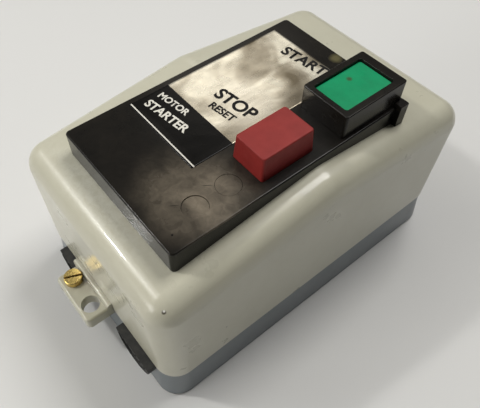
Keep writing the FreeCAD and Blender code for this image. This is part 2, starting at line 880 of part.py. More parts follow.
def fascia(outer):
    x = (d.fascia_left, d.fascia_right)
    y = (d.fascia_low, d.fascia_high)
    z = (d.fascia_top - 20, d.fascia_top)
    slab = rounded_block(x, y, z, d.fascia_corner)
    slab = rounded(slab, d.fascia_edge, lambda edge: height_of(edge) > d.fascia_top.value - 0.01)
    wall = d.fascia_wall
    ceiling = d.fascia_top - wall
    room = block((x[0] + wall, x[1] - wall), (y[0] + wall, y[1] - wall), (z[0] - 1, ceiling))
    posts = [rod(px, py, (z[0], ceiling + 1), d.fascia_boss_radius) for px, py in fascia_fixings]
    shell = cut(fuse(cut(slab, room), *posts), outer)

    collar = stop_opening(d.button_gap + d.collar_wall, (d.collar_bottom, ceiling + 1), d.button_corner)
    bosses = [rod(px, py, (guide_top, ceiling + 1), d.fascia_boss_radius) for px, py in guide_fixings]
    whole = fuse(shell, collar, *bosses)

    through = (z[0], d.fascia_top + 1)
    holes = [
        stop_opening(d.button_gap, through, d.button_corner),
        start_opening(d.button_gap + d.collar_wall, through, d.button_corner),
        block((d.label_left, d.label_right), (d.label_low, d.label_high),
              (d.fascia_top - d.label_thick, d.fascia_top + 1)),
        block((d.catch_x, x[1] + 1), around(d.catch_y + d.catch_length / 2, d.catch_length),
              (d.catch_top - d.catch_nib, d.catch_top)),
    ]
    holes += [rod(px, py, through, d.blank_radius) for px, py in blanks]
    holes += [rod(px, py, (z[0], ceiling), d.m3_radius + d.thread_gap) for px, py in fascia_fixings]
    holes += [rod(px, py, (guide_top - 1, guide_top + 7), d.m3_radius + d.thread_gap)
              for px, py in guide_fixings]
    return node("fascia", cut(whole, *holes))


def upward_screw(x, y, seat, length):
    """An M3 cheese-head screw driven from inside, head down, that pulls up against a seat."""
    underside = seat - d.m3_head_height
    head = rod(x, y, (underside, seat), d.m3_head_radius)
    shank = rod(x, y, (seat, seat + length), d.m3_radius)
    slot = block(around(x, 2 * d.m3_head_radius + 1), around(y, d.m3_head_radius * 0.3),
                 (underside - 1, underside + d.m3_head_height * 0.45))
    return cut(fuse(head, shank), slot)


def fascia_screws():
    screws = [upward_screw(x, y, fixing_seat(y), d.fascia_screw_length) for x, y in fascia_fixings]
    return node("fascia_screws", group(*screws))


def guide_screws():
    screws = [upward_screw(x, y, d.guide_bottom, d.guide_screw_length) for x, y in guide_fixings]
    return node("guide_screws", group(*screws))


def label_plate():
    z = (d.fascia_top - d.label_thick, d.fascia_top + 0.1)
    return node("label_plate", block((d.label_left, d.label_right), (d.label_low, d.label_high), z))


def blanking_plugs():
    """Blanks for the two holes where options would go, one of them sunk a little."""
    plugs = []
    ceiling = d.fascia_top - d.fascia_wall
    for (x, y), sink in zip(blanks, (d.blank_a_sink, d.blank_b_sink)):
        disc = rod(x, y, (ceiling - 1, d.fascia_top - sink), d.blank_radius - d.blank_gap)
        flange = rod(x, y, (ceiling - 1.5, ceiling), d.blank_radius + 1)
        plugs.append(fuse(disc, flange))
    return node("blanking_plugs", group(*plugs))


def fascia_catch(outer):
    """A spring clip over the fascia's edge, pegged into the cover beside it."""
    y = (d.catch_y, d.catch_y + d.catch_length)
    edge_x = d.fascia_right
    side = block((edge_x, d.catch_x + d.catch_width), y, (d.cover_apex - 10, d.catch_top))
    side = rounded(side, d.shroud_edge, lambda edge: edge.CenterOfMass.x > edge_x.value + 0.01
                   and height_of(edge) > d.catch_top.value - 0.01 and along(edge, "y"))
    nib = block((d.catch_x, edge_x + 0.5), y, (d.catch_top - d.catch_nib, d.catch_top))
    peg = rod(catch_peg_x, y[0] + d.catch_length / 2, (roof_at(y[0]) - 5, roof_at(y[0]) + 1), d.catch_peg)
    return node("fascia_catch", fuse(cut(side, outer), nib, peg))


def start_shroud():
    """The frame round the START button, with a sleeve down through the fascia."""
    frame = rounded_block((d.shroud_left, d.shroud_right), (d.shroud_low, d.shroud_high),
                          (d.fascia_top, d.shroud_top), d.button_corner)
    frame = rounded(frame, d.shroud_edge, lambda edge: height_of(edge) > d.shroud_top.value - 0.01)
    sleeve = start_opening(d.button_gap + d.collar_wall, (d.collar_bottom, d.fascia_top + 1),
                           d.button_corner)
    hole = start_opening(d.button_gap, (d.collar_bottom - 1, d.shroud_top + 1), d.button_corner)
    return node("start_shroud", cut(fuse(frame, sleeve), hole))


def button(name, x, y, width, length, top, taper):
    """A button cap with its retaining flange and stem. A tapered one narrows above the fascia."""
    body = new_body(name)
    wide = around(x, width)
    deep = around(y, length)
    if taper is None:
        pad(body, rectangle(body, d.skirt_bottom, wide, deep), top - d.skirt_bottom)
    else:
        pad(body, rectangle(body, d.skirt_bottom, wide, deep), d.fascia_top - d.skirt_bottom)
        pad(body, rectangle(body, d.fascia_top, wide, deep), top - d.fascia_top,
            taper=f"-{taper.text}")
    fillet(body, d.button_corner, lambda edge: along(edge, "z"))
    fillet(body, d.button_edge, lambda edge: height_of(edge) > top.value - 0.01)
    step = d.flange_step
    flange = rectangle(body, d.flange_bottom, (wide[0] - step, wide[1] + step),
                       (deep[0] - step, deep[1] + step))
    pad(body, flange, d.flange_top - d.flange_bottom)
    stem = circles(body, "XY_Plane", d.stem_bottom, [(x, y)], d.stem_radius)
    pad(body, stem, d.flange_bottom + 0.5 - d.stem_bottom)
    return node(name, body)


def button_guide():
    """The tray under the fascia that guides both stems and seats both springs."""
    x = (d.guide_left, d.guide_right)
    y = (d.guide_low, d.guide_high)
    slab = rounded_block(x, y, (d.guide_bottom, guide_top + d.guide_rim), d.fascia_corner)
    edge = d.switch_wall
    room = block((x[0] + edge, x[1] - edge), (y[0] + edge, y[1] - edge), (guide_top, guide_top + 10))
    span = (d.guide_bottom - 1, guide_top + 1)
    holes = [rod(px, py, span, d.stem_radius + d.running_gap)
             for px, py in ((d.stop_x, d.stop_y), (d.start_x, d.start_y))]
    holes += [rod(px, py, span, d.m3_radius + d.pass_gap) for px, py in guide_fixings]
    return node("button_guide", cut(slab, room, *holes))


def button_spring(name, x, y):
    return node(name, spring(x, y, (guide_top, d.flange_bottom), d.button_spring_radius,
                             d.button_spring_wire, 6))


# ---------------------------------------------------------------- chassis

contactor_feet = [(d.contactor_foot_x, d.contactor_foot_y),
                  (d.end_foot_x, d.contactor_high + d.foot_width / 2)]
overload_feet = [(d.end_foot_x, d.overload_low - d.foot_width / 2),
                 (d.stop_x, d.stop_y - d.stop_block_half - d.foot_width / 2)]
bracket_feet = [(d.start_x, d.start_y - d.bracket_reach - d.bracket_foot / 2),
                (d.start_x, d.start_y + d.bracket_reach + d.bracket_foot / 2)]
chassis_fixings = [(x, y) for x in (-d.chassis_fixing_x, d.chassis_fixing_x)
                   for y in (-d.chassis_fixing_y, d.chassis_fixing_y)]


def chassis_plate():
    body = new_body("chassis_plate")
    outline = rectangle(body, d.chassis_bottom, around(Size.of(0), d.chassis_width),
                        around(Size.of(0), d.chassis_length))
    pad(body, outline, d.chassis_thick)
    fillet(body, d.chassis_corner, lambda edge: along(edge, "z"))
    pocket(body, circles(body, "XY_Plane", chassis_top, chassis_fixings, d.m4_radius + d.pass_gap),
           d.chassis_thick)
    pocket(body, circles(body, "XY_Plane", chassis_top, [(d.earth_x, d.earth_y)],
                         d.m4_radius + d.thread_gap), d.chassis_thick)
    tapped = contactor_feet + overload_feet + bracket_feet
    pocket(body, circles(body, "XY_Plane", chassis_top, tapped, d.m3_radius + d.thread_gap),
           d.chassis_thick)
    return node("chassis_plate", body)


def chassis_screws():
    screws = [m4_screw(x, y, chassis_top, d.chassis_screw_length) for x, y in chassis_fixings]
    return node("chassis_screws", group(*screws))


def device_screws():
    """The screws that hold the contactor, the overload relay and the switch bracket to the chassis."""
    feet = [(x, y, d.foot_thick) for x, y in contactor_feet + overload_feet]
    feet += [(x, y, d.bracket_thick) for x, y in bracket_feet]
    screws = [m3_screw(x, y, chassis_top + thick, d.foot_screw_length) for x, y, thick in feet]
    return node("device_screws", group(*screws))


def earth_terminal():
    """A saddle clamp and its screw."""
    x, y = d.earth_x, d.earth_y
    clamp = block(around(x, d.earth_clamp), around(y, d.earth_clamp), (chassis_top, chassis_top + 1.2))
    clamp = cut(clamp, rod(x, y, (chassis_top - 1, chassis_top + 3), d.m4_radius + 0.2))
    screw = m4_screw(x, y, chassis_top + 1.2, d.foot_screw_length)
    return node("earth_terminal", group(clamp, screw))


def foot(x, y):
    """A fixing foot that lies on the chassis and runs into the side wall that it grows from."""
    return block(x, y, (chassis_top, chassis_top + d.foot_thick))


def foot_hole(x, y):
    return rod(x, y, (chassis_top - 1, chassis_top + d.foot_thick + 1), d.m3_radius + d.pass_gap)


# ---------------------------------------------------------------- contactor

floor_top = chassis_top + d.mould_floor
relay_x = (d.relay_left, d.relay_right)
room_x = (d.relay_left + d.mould_wall, d.relay_right - d.mould_wall)
contactor_y = (d.contactor_low, d.contactor_high)
contactor_room_y = (d.contactor_low + d.mould_wall, d.contactor_high - d.mould_wall)
upper_y = (d.contactor_low + d.deck_depth, d.contactor_high - d.deck_depth)
chamber_y = (upper_y[0] + d.mould_wall, upper_y[1] - d.mould_wall)
deck_bottom = d.deck_top - d.deck_thick
yoke_top = floor_top + d.yoke_height
armature_bottom = yoke_top + d.contactor_travel + d.seat_gap
armature_top = armature_bottom + d.armature_thick
saddle_top = armature_top + d.saddle_thick
bar_top = d.deck_top + d.bar_thick
barriers_x = [d.pole_first + (i + 0.5) * d.pole_pitch for i in range(3)]


def contactor_base():
    outer = block(relay_x, contactor_y, (chassis_top, d.contactor_split))
    room = block(room_x, contactor_room_y, (floor_top, d.contactor_split + 1))
    seats = []
    for side in (-d.arm_y, d.arm_y):
        seats.append(rod(magnet_x, magnet_y + side, (floor_top - 1, d.return_seat),
                         d.return_spring_radius + 0.6))
        seats.append(rod(magnet_x, magnet_y + side, (floor_top, d.return_seat + 6), d.return_spigot))
    side_foot, end_foot = contactor_feet
    feet = [foot((d.relay_right - 1, side_foot[0] + d.foot_width / 2), around(side_foot[1], d.foot_width)),
            foot(around(end_foot[0], d.foot_width), (d.contactor_high - 1, end_foot[1] + d.foot_width / 2))]
    slots = [block(around(magnet_x + side, d.coil_tab_width), (contactor_room_y[1] - 1, contactor_y[1] + 1),
                   (coil_tab_bottom, coil_tab_bottom + 1))
             for side in (-d.coil_tab_x, d.coil_tab_x)]
    shell = cut(outer, room, *slots)
    holes = [foot_hole(x, y) for x, y in contactor_feet]
    return node("contactor_base", cut(fuse(shell, *seats, *feet), *holes))


def bar_span(side, inner, outer):
    """The y planes of a contact bar on one side of the magnet's centre line."""
    return between(magnet_y + side * inner, outer)


def terminal_bar(x, side):
    """A fixed contact: a bar on the deck with a silver tip at its inner end."""
    outer = d.contactor_high - 1 if side > 0 else d.contactor_low + 1
    bar = block(around(x, d.bar_width), bar_span(side, d.bar_inner, outer), (d.deck_top, bar_top))
    tip = block(around(x, d.tip_size), around(magnet_y + side * d.tip_offset, d.tip_size),
                (bar_top, bar_top + d.fixed_tip_height))
    hole = rod(x, terminal_y(side), (d.deck_top - 1, bar_top + 1), d.m3_radius + 0.2)
    return cut(fuse(bar, tip), hole)


def terminal_y(side):
    return d.contactor_high - d.terminal_inset if side > 0 else d.contactor_low + d.terminal_inset


def contactor_housing():
    lower = block(relay_x, contactor_y, (d.contactor_split, d.deck_top))
    upper = block(relay_x, upper_y, (d.deck_top - 1, d.contactor_top))
    room = block(room_x, contactor_room_y, (d.contactor_split - 1, deck_bottom))
    chamber = block(room_x, chamber_y, (d.deck_top, d.contactor_top - d.mould_floor))
    throat = block(room_x, around(magnet_y, 2 * d.throat_half), (deck_bottom - 1, d.deck_top))
    shell = cut(fuse(lower, upper), room, chamber)
    walls = []
    for x in barriers_x:
        for side in (-1, 1):
            near = magnet_y + side * d.barrier_slot
            far = magnet_y + side * ((chamber_y[1] - chamber_y[0]) / 2 + 0.5)
            walls.append(block(around(x, d.barrier_thick), between(near, far),
                               (d.deck_top - 0.5, d.contactor_top - d.mould_floor + 0.5)))
    slots = []
    for x in pole_x:
        slots.append(block(around(x, d.bar_width), (upper_y[0] - 1, upper_y[1] + 1),
                           (d.deck_top, bar_top)))
        for side in (-1, 1):
            slots.append(rod(x, terminal_y(side), (deck_bottom - 1, d.deck_top + 1),
                             d.m3_radius + d.thread_gap))
    return node("contactor_housing", cut(fuse(shell, *walls), *slots, throat))


def magnet_yoke():
    """An E-shaped laminated core, open side up, with a groove across each outer pole face."""
    y = around(magnet_y, d.magnet_stack)
    whole = block(around(magnet_x, d.magnet_width), y, (floor_top, yoke_top))
    gaps = []
    for side in (-1, 1):
        near = magnet_x + side * d.centre_leg / 2
        far = magnet_x + side * (d.magnet_width / 2 - d.outer_leg)
        gaps.append(block(between(near, far), (y[0] - 1, y[1] + 1),
                          (floor_top + d.yoke_back, yoke_top + 1)))
        groove_x = magnet_x + side * (d.magnet_width / 2 - d.outer_leg / 2)
        gaps.append(block(around(groove_x, d.ring_width), (y[0] - 1, y[1] + 1),
                          (yoke_top - d.ring_depth, yoke_top + 1)))
    return node("magnet_yoke", cut(whole, *gaps))


def shading_rings():
    """A copper ring on each outer pole: one side in the groove, the other round the outside."""
    rings = []
    for side in (-1, 1):
        groove_x = magnet_x + side * (d.magnet_width / 2 - d.outer_leg / 2)
        outside_x = magnet_x + side * (d.magnet_width / 2 + d.ring_width / 2)
        y = (magnet_y - d.magnet_stack / 2 - d.ring_width, magnet_y + d.magnet_stack / 2 + d.ring_width)
        z = (yoke_top - d.ring_depth, yoke_top - d.ring_depth + d.ring_height)
        pair = between(groove_x, outside_x)
        x = (pair[0] - d.ring_width / 2, pair[1] + d.ring_width / 2)
        ring = block(x, y, z)
        core = block((x[0] + d.ring_width, x[1] - d.ring_width), (y[0] + d.ring_width, y[1] - d.ring_width),
                     (z[0] - 1, z[1] + 1))
        rings.append(cut(ring, core))
    return node("shading_rings", group(*rings))


bobbin_bottom = floor_top + d.yoke_back + 0.2
coil_tab_bottom = d.bobbin_top - d.bobbin_flange - 1


def centred_block(half_width, half_depth, z):
    return block(around(magnet_x, 2 * half_width), around(magnet_y, 2 * half_depth), z)


def coil_bobbin():
    hole_x = d.centre_leg / 2 + d.bobbin_fit
    hole_y = d.magnet_stack / 2 + d.bobbin_fit
    tube = centred_block(hole_x + d.bobbin_tube, hole_y + d.bobbin_tube, (bobbin_bottom, d.bobbin_top))
    low = centred_block(d.bobbin_half_x, d.bobbin_half_y, (bobbin_bottom, bobbin_bottom + d.bobbin_flange))
    high = centred_block(d.bobbin_half_x, d.bobbin_half_y, (d.bobbin_top - d.bobbin_flange, d.bobbin_top))
    hole = centred_block(hole_x, hole_y, (bobbin_bottom - 1, d.bobbin_top + 1))
    return node("coil_bobbin", cut(fuse(tube, low, high), hole))


def coil_winding():
    hole_x = d.centre_leg / 2 + d.bobbin_fit + d.bobbin_tube
    hole_y = d.magnet_stack / 2 + d.bobbin_fit + d.bobbin_tube
    z = (bobbin_bottom + d.bobbin_flange, coil_tab_bottom)
    winding = rounded(centred_block(d.coil_half_x, d.coil_half_y, z), d.lug_corner,
                      lambda edge: along(edge, "z"))
    return node("coil_winding", cut(winding, centred_block(hole_x, hole_y, (z[0] - 1, z[1] + 1))))


def coil_terminals():
    tabs = [block(around(magnet_x + side, d.coil_tab_width),
                  (magnet_y + d.coil_half_y - 3, magnet_y + d.coil_tab_reach),
                  (coil_tab_bottom, coil_tab_bottom + 1))
            for side in (-d.coil_tab_x, d.coil_tab_x)]
    return node("coil_terminals", group(*tabs))


def pin_along(reach):
    """The pin that joins the armature to the crosshead, or the hole for it."""
    return rod(magnet_x, (magnet_y - reach, magnet_y + reach), armature_bottom + d.armature_thick / 2,
               d.armature_pin_radius, "Y")


def armature():
    bar = block(around(magnet_x, d.magnet_width), around(magnet_y, d.magnet_stack),
                (armature_bottom, armature_top))
    return node("armature", cut(bar, pin_along(d.magnet_stack)))


def armature_pin():
    return node("armature_pin", pin_along(d.magnet_stack / 2 + d.cheek_thick))


def crosshead():
    """The moulded slide: a saddle over the armature, spring arms, and a column with a window per pole."""
    wide = (room_x[0] + d.slide_gap, room_x[1] - d.slide_gap)
    saddle = block(wide, around(magnet_y, d.magnet_stack), (armature_top, saddle_top))
    arms = block(around(magnet_x, 2 * d.arm_half), around(magnet_y, 2 * (d.arm_y + d.arm_half)),
                 (armature_top, saddle_top))
    cheeks = []
    for side in (-1, 1):
        middle = magnet_y + side * (d.magnet_stack / 2 + d.cheek_thick / 2)
        cheeks.append(block(around(magnet_x, 2 * d.cheek_half), around(middle, d.cheek_thick),
                            (armature_bottom + 0.5, armature_top + 1)))
    column = block(wide, around(magnet_y, 2 * d.column_half), (saddle_top - 1, d.column_top))
    windows = [block(around(x, d.bridge_width + 0.1), around(magnet_y, 4 * d.column_half),
                     (d.bridge_floor, d.window_top)) for x in pole_x]
    return node("crosshead", cut(fuse(saddle, arms, column, *cheeks), *windows, pin_along(d.magnet_stack)))


def moving_contacts():
    """A bridge with a tip under each end, one for each pole."""
    bridges = []
    for x in pole_x:
        bar = block(around(x, d.bridge_width), around(magnet_y, 2 * d.bridge_reach),
                    (d.bridge_floor, d.bridge_floor + d.bridge_thick))
        tips = [block(around(x, d.tip_size), around(magnet_y + side * d.tip_offset, d.tip_size),
                      (d.bridge_floor - d.tip_height, d.bridge_floor)) for side in (-1, 1)]
        bridges.append(fuse(bar, *tips))
    return node("moving_contacts", group(*bridges))


def contact_springs():
    springs = [spring(x, magnet_y, (d.bridge_floor + d.bridge_thick, d.window_top),
                      d.contact_spring_radius, d.contact_spring_wire, 3) for x in pole_x]
    return node("contact_springs", group(*springs))


def terminals(name, side):
    return node(name, group(*[terminal_bar(x, side) for x in pole_x]))


def return_springs():
    springs = [spring(magnet_x, magnet_y + side, (d.return_seat, armature_top),
                      d.return_spring_radius, d.return_spring_wire, 9)
               for side in (-d.arm_y, d.arm_y)]
    return node("contactor_return_springs", group(*springs))


# ---------------------------------------------------------------- start switch and plungers

def plunger(name, x, y, flange_top, collar_bottom, rod_bottom):
    """A push rod: stem through the roof, retaining flange, and a thin rod that carries the bridge."""
    flange_low = flange_top - d.plunger_flange_thick
    stem = rod(x, y, (flange_top - 0.5, d.plunger_top), d.stem_radius)
    flange = rod(x, y, (flange_low, flange_top), d.plunger_flange)
    thin = rod(x, y, (rod_bottom, flange_low + 0.5), d.plunger_rod)
    pieces = [stem, flange, thin]
    if collar_bottom is not None:
        pieces.append(rod(x, y, (collar_bottom, flange_low + 0.5), d.stem_radius))
    return node(name, fuse(*pieces))


def contact_bridge(name, x, y, z, tips_up):
    """A bridge on a plunger's rod, tips on one side."""
    low, high = z
    bar = block(around(x, d.switch_bridge_width), around(y, 2 * d.switch_bridge_reach), z)
    tip_z = (high, high + d.tip_height) if tips_up else (low - d.tip_height, low)
    tip_offset = d.switch_bar_inner + d.tip_size / 2
    tips = [block(around(x, d.tip_size), around(y + side * tip_offset, d.tip_size), tip_z)
            for side in (-1, 1)]
    hole = rod(x, y, (low - 5, high + 5), d.plunger_rod)
    return node(name, cut(fuse(bar, *tips), hole))


def fixed_contacts(name, x, y, bar_z, tip_z):
    """The pair of bars that a bridge joins."""
    bars = []
    for side in (-1, 1):
        near = y + side * d.switch_bar_inner
        far = y + side * d.switch_bar_outer
        bar = block(around(x, d.bar_width), between(near, far), bar_z)
        tip = block(around(x, d.tip_size),
                    around(y + side * (d.switch_bar_inner + d.tip_size / 2), d.tip_size), tip_z)
        bars.append(fuse(bar, tip))
    return node(name, group(*bars))


switch_floor = d.switch_bottom + d.switch_wall
switch_roof = d.switch_top - d.switch_wall
start_flange_top = switch_roof - d.seat_gap
start_bridge_top = start_flange_top - d.plunger_flange_thick
start_bridge_low = start_bridge_top - d.bridge_thick
start_tip_top = start_bridge_low - d.tip_height - d.start_travel - d.seat_gap
start_bar_z = (start_tip_top - d.tip_height - d.bar_thick, start_tip_top - d.tip_height)
switch_posts = [(d.start_x + side, d.start_y + side) for side in (-d.switch_post, d.switch_post)]


def start_switch_bracket():
    """A bridge of bent sheet that carries the switch at the right height."""
    x = around(d.start_x, 2 * d.bracket_half)
    reach = d.bracket_reach
    t = d.bracket_thick
    top = block(x, around(d.start_y, 2 * reach), (d.switch_bottom - t, d.switch_bottom))
    pieces = [top]
    for side in (-1, 1):
        leg = around(d.start_y + side * (reach - t / 2), t)
        pieces.append(block(x, leg, (chassis_top, d.switch_bottom)))
        near = d.start_y + side * (reach - t)
        far = d.start_y + side * (reach + d.bracket_foot)
        pieces.append(block(x, between(near, far), (chassis_top, chassis_top + t)))
    holes = [rod(px, py, (chassis_top - 1, chassis_top + 2), d.m3_radius + d.pass_gap)
             for px, py in bracket_feet]
    holes += [rod(px, py, (d.switch_bottom - 2, d.switch_bottom + 1), d.m3_radius + d.thread_gap)
              for px, py in switch_posts]
    return node("start_switch_bracket", cut(fuse(*pieces), *holes))


def start_switch_body():
    x, y = d.start_x, d.start_y
    outer = block(around(x, 2 * d.switch_half), around(y, 2 * d.switch_half),
                  (d.switch_bottom, d.switch_top))
    inside = 2 * (d.switch_half - d.switch_wall)
    room = block(around(x, inside), around(y, inside), (switch_floor, switch_roof))
    posts = [rod(px, py, (d.switch_bottom, d.switch_top), d.switch_post_radius) for px, py in switch_posts]
    holes = [rod(px, py, (d.switch_bottom - 1, d.switch_top + 1), d.m3_radius + d.pass_gap)
             for px, py in switch_posts]
    holes.append(rod(x, y, (switch_roof - 1, d.switch_top + 1), d.stem_radius + d.running_gap))
    holes.append(block(around(x, d.bar_width), around(y, 2 * d.switch_bar_outer), start_bar_z))
    return node("start_switch_body", cut(fuse(cut(outer, room), *posts), *holes))


def start_switch_screws():
    screws = [m3_screw(px, py, d.switch_top, d.switch_screw_length) for px, py in switch_posts]
    return node("start_switch_screws", group(*screws))


# ---------------------------------------------------------------- overload relay

overload_y = (d.overload_low, d.overload_high)
ledge_y = (d.overload_low + d.deck_depth, d.overload_high - d.deck_depth)
ledge_bottom = d.deck_top - d.overload_ledge
wing_x = (d.relay_right - d.mould_wall, d.stop_x + d.stop_block_half)
wing_y = (d.stop_y - d.stop_block_half, d.stop_y + d.stop_block_half)
overload_poles = pole_x[:3]
stop_flange_top = d.deck_top - d.seat_gap
stop_tip_low = d.stop_contact_floor + d.tip_height + d.seat_gap
stop_bar_z = (stop_tip_low + d.tip_height, stop_tip_low + d.tip_height + d.bar_thick)
cover_posts = [(d.dial_x, ledge_y[0] + 4), (wing_x[1] - 6, wing_y[1] - 6)]
overload_terminal_holes = [(x, y) for x in overload_poles
                           for y in (d.overload_low + d.terminal_inset, d.overload_high - d.terminal_inset)]
pin_posts = [d.trip_bar_low - 2, d.trip_bar_high + 2]


def trip_bar_room(gap):
    """The path of the trip bar, with a gap all round."""
    return ((d.trip_bar_low - gap, d.trip_bar_high + gap), (d.trip_bar_bottom - gap, d.trip_bar_top + gap))


def strip_blocks():
    """The bimetal strip of each pole, upright on its edge."""
    return [block(around(x, d.strip_thick), (d.strip_low, d.strip_high),
                  around(d.heater_height, d.strip_width)) for x in overload_poles]


def overload_base():
    main = block(relay_x, overload_y, (chassis_top, d.deck_top))
    wing = block(wing_x, wing_y, (chassis_top, d.deck_top))
    wall = d.mould_wall
    low_room = block(room_x, (overload_y[0] + wall, overload_y[1] - wall), (floor_top, ledge_bottom))
    high_room = block(room_x, ledge_y, (ledge_bottom - 1, d.deck_top + 1))
    wing_room = block((d.relay_right, wing_x[1] - wall), (wing_y[0] + wall, wing_y[1] - wall),
                      (floor_top, d.deck_top + 1))
    shell = cut(fuse(main, wing), low_room, high_room, wing_room)
    inner = [block(around(x, d.barrier_thick), (ledge_y[0] - 0.5, ledge_y[1] + 0.5),
                   (floor_top - 0.5, d.deck_top)) for x in barriers_x]
    inner += [block(around(x, d.strip_post), (overload_y[0] + wall - 0.5, ledge_y[0] - 1),
                    (floor_top - 0.5, d.heater_height + d.strip_width)) for x in overload_poles]
    inner += [rod(px, py, (floor_top - 0.5, d.deck_top), d.cover_boss_radius) for px, py in cover_posts]
    inner.append(rod(d.stop_x, d.stop_y, (floor_top - 0.5, d.reset_seat), d.reset_seat_radius))
    inner += [block(around(d.trip_axis_x, d.pin_post_width), around(y, d.pin_post),
                    (floor_top - 0.5, d.trip_axis_z + d.pin_post_width / 2)) for y in pin_posts]
    feet = [foot(around(px, d.foot_width), (py - d.foot_width / 2, wall_y + 1))
            for (px, py), wall_y in zip(overload_feet, (d.overload_low, wing_y[0]))]
    path_y, path_z = trip_bar_room(d.slide_gap)
    holes = [block((room_x[0] - 0.5, d.relay_right + 1), path_y, path_z)]
    holes += strip_blocks()
    holes += [rod(px, py, (d.deck_top - 10, d.deck_top + 1), d.m3_radius + d.thread_gap)
              for px, py in cover_posts + overload_terminal_holes]
    holes += [foot_hole(px, py) for px, py in overload_feet]
    holes.append(rod(d.trip_axis_x, (pin_posts[0] - 5, pin_posts[1] + 5), d.trip_axis_z,
                     d.trip_pin_radius, "Y"))
    holes.append(block(around(d.stop_x, d.bar_width), (wing_y[0] - 1, wing_y[1] + 1), stop_bar_z))
    return node("overload_base", cut(fuse(shell, *inner, *feet), *holes))


def overload_cover():
    z = (d.deck_top, d.deck_top + d.overload_cover_thick)
    span = (z[0] - 1, z[1] + 1)
    clear = d.bar_thick + d.slide_gap
    plate = fuse(block(relay_x, (ledge_y[0] + clear, ledge_y[1] - clear), z), block(wing_x, wing_y, z))
    holes = [rod(d.stop_x, d.stop_y, span, d.stem_radius + d.running_gap),
             rod(d.dial_x, d.dial_y, span, d.dial_shaft + d.running_gap)]
    holes += [rod(px, py, span, d.m3_radius + d.pass_gap) for px, py in cover_posts]
    return node("overload_cover", cut(plate, *holes))


def overload_cover_screws():
    seat = d.deck_top + d.overload_cover_thick
    screws = [m3_screw(px, py, seat, d.cover_screw_length) for px, py in cover_posts]
    return node("overload_cover_screws", group(*screws))


def overload_terminals():
    """The bars on the two ledges, each with a leg down to the end of its heater."""
    bars = []
    foot_z = (d.heater_height + d.heater_radius + d.heater_wire,
              d.heater_height + d.heater_radius + d.heater_wire + d.bar_thick)
    for x in overload_poles:
        wide = around(x, d.bar_width)
        for sign, ledge, end, coil in ((-1, ledge_y[0], d.overload_low + 1, d.heater_low),
                                       (1, ledge_y[1], d.overload_high - 1, d.heater_high)):
            face = ledge - sign * d.bar_thick
            reach = coil - sign * 0.6
            bar = block(wide, between(face, end), (d.deck_top, bar_top))
            leg = block(wide, between(face, ledge), (foot_z[0], bar_top))
            heel = block(wide, between(reach, ledge), foot_z)
            y = end - sign * (d.terminal_inset - 1)
            hole = rod(x, y, (d.deck_top - 1, bar_top + 1), d.m3_radius + 0.2)
            bars.append(cut(fuse(bar, leg, heel), hole))
    return node("overload_terminals", group(*bars))


def link_bars():
    """Straps from the contactor's load terminals to the overload relay."""
    bars = []
    y = (d.overload_high - d.deck_depth + 2, d.contactor_low + d.deck_depth - 2)
    for x in overload_poles:
        strap = block(around(x, d.bar_width), y, (bar_top, bar_top + d.bar_thick))
        holes = [rod(x, py, (bar_top - 1, bar_top + 3), d.m3_radius + 0.2)
                 for py in (terminal_y(-1), d.overload_high - d.terminal_inset)]
        bars.append(cut(strap, *holes))
    return node("link_bars", group(*bars))


def terminal_screws():
    """All the clamping screws of the contactor and the overload relay."""
    screws = [m3_screw(x, terminal_y(1), bar_top, d.terminal_screw_length) for x in pole_x]
    screws.append(m3_screw(pole_x[3], terminal_y(-1), bar_top, d.terminal_screw_length))
    for x in overload_poles:
        screws.append(m3_screw(x, terminal_y(-1), bar_top + d.bar_thick, d.terminal_screw_length))
        screws.append(m3_screw(x, d.overload_high - d.terminal_inset, bar_top + d.bar_thick,
                               d.terminal_screw_length))
        screws.append(m3_screw(x, d.overload_low + d.terminal_inset, bar_top, d.terminal_screw_length))
    return node("terminal_screws", group(*screws))


def overload_heaters():
    """A coil of resistance wire round each bimetal strip, both ends at the top of the coil."""
    coils = []
    for x in overload_poles:
        length = d.heater_high - d.heater_low
        helix = doc.addObject("Part::Helix", "helix")
        turn = Rotation(Vector(0, 0, 1), Vector(1, 0, 0), Vector(0, 1, 0), "XYZ")
        helix.Placement = Placement(Vector(), turn)
        bind(helix, "Radius", d.heater_radius)
        bind(helix, "Height", length)
        bind(helix, "Pitch", length / 10)
        place(helix, x, d.heater_low, d.heater_height)
        profile = doc.addObject("Part::Circle", "wire")
        profile.Placement = Placement(Vector(), Rotation(Vector(0, 1, 0), 90))
        bind(profile, "Radius", d.heater_wire)
        place(profile, x, d.heater_low, d.heater_height + d.heater_radius)
        sweep = doc.addObject("Part::Sweep", "heater")
        sweep.Sections = [profile]
        sweep.Spine = (helix, ["Edge1"])
        sweep.Solid = True
        sweep.Frenet = True
        coils.append(sweep)
    return node("overload_heaters", group(*coils))


def bimetal_strips():
    return node("bimetal_strips", group(*strip_blocks()))


def trip_bar():
    """The bar that any strip can push, with a tooth beside each strip and a nose for the lever."""
    y = (d.trip_bar_low, d.trip_bar_high)
    left = room_x[0] + 1
    nose_tip = d.trip_axis_x - d.lever_half - d.seat_gap
    body = block((left, nose_tip - 5), y, (d.trip_bar_bottom, d.trip_bar_top))
    nose = block((nose_tip - 6, nose_tip), y, (d.trip_nose_bottom, d.trip_nose_top))
    teeth = [block((x + d.strip_thick / 2 + d.seat_gap, x + d.strip_thick / 2 + 1.5),
                   (d.trip_bar_low - d.trip_tooth, d.trip_bar_low + 0.5),
                   around(d.heater_height, d.tip_size)) for x in overload_poles]
    return node("trip_bar", fuse(body, nose, *teeth))


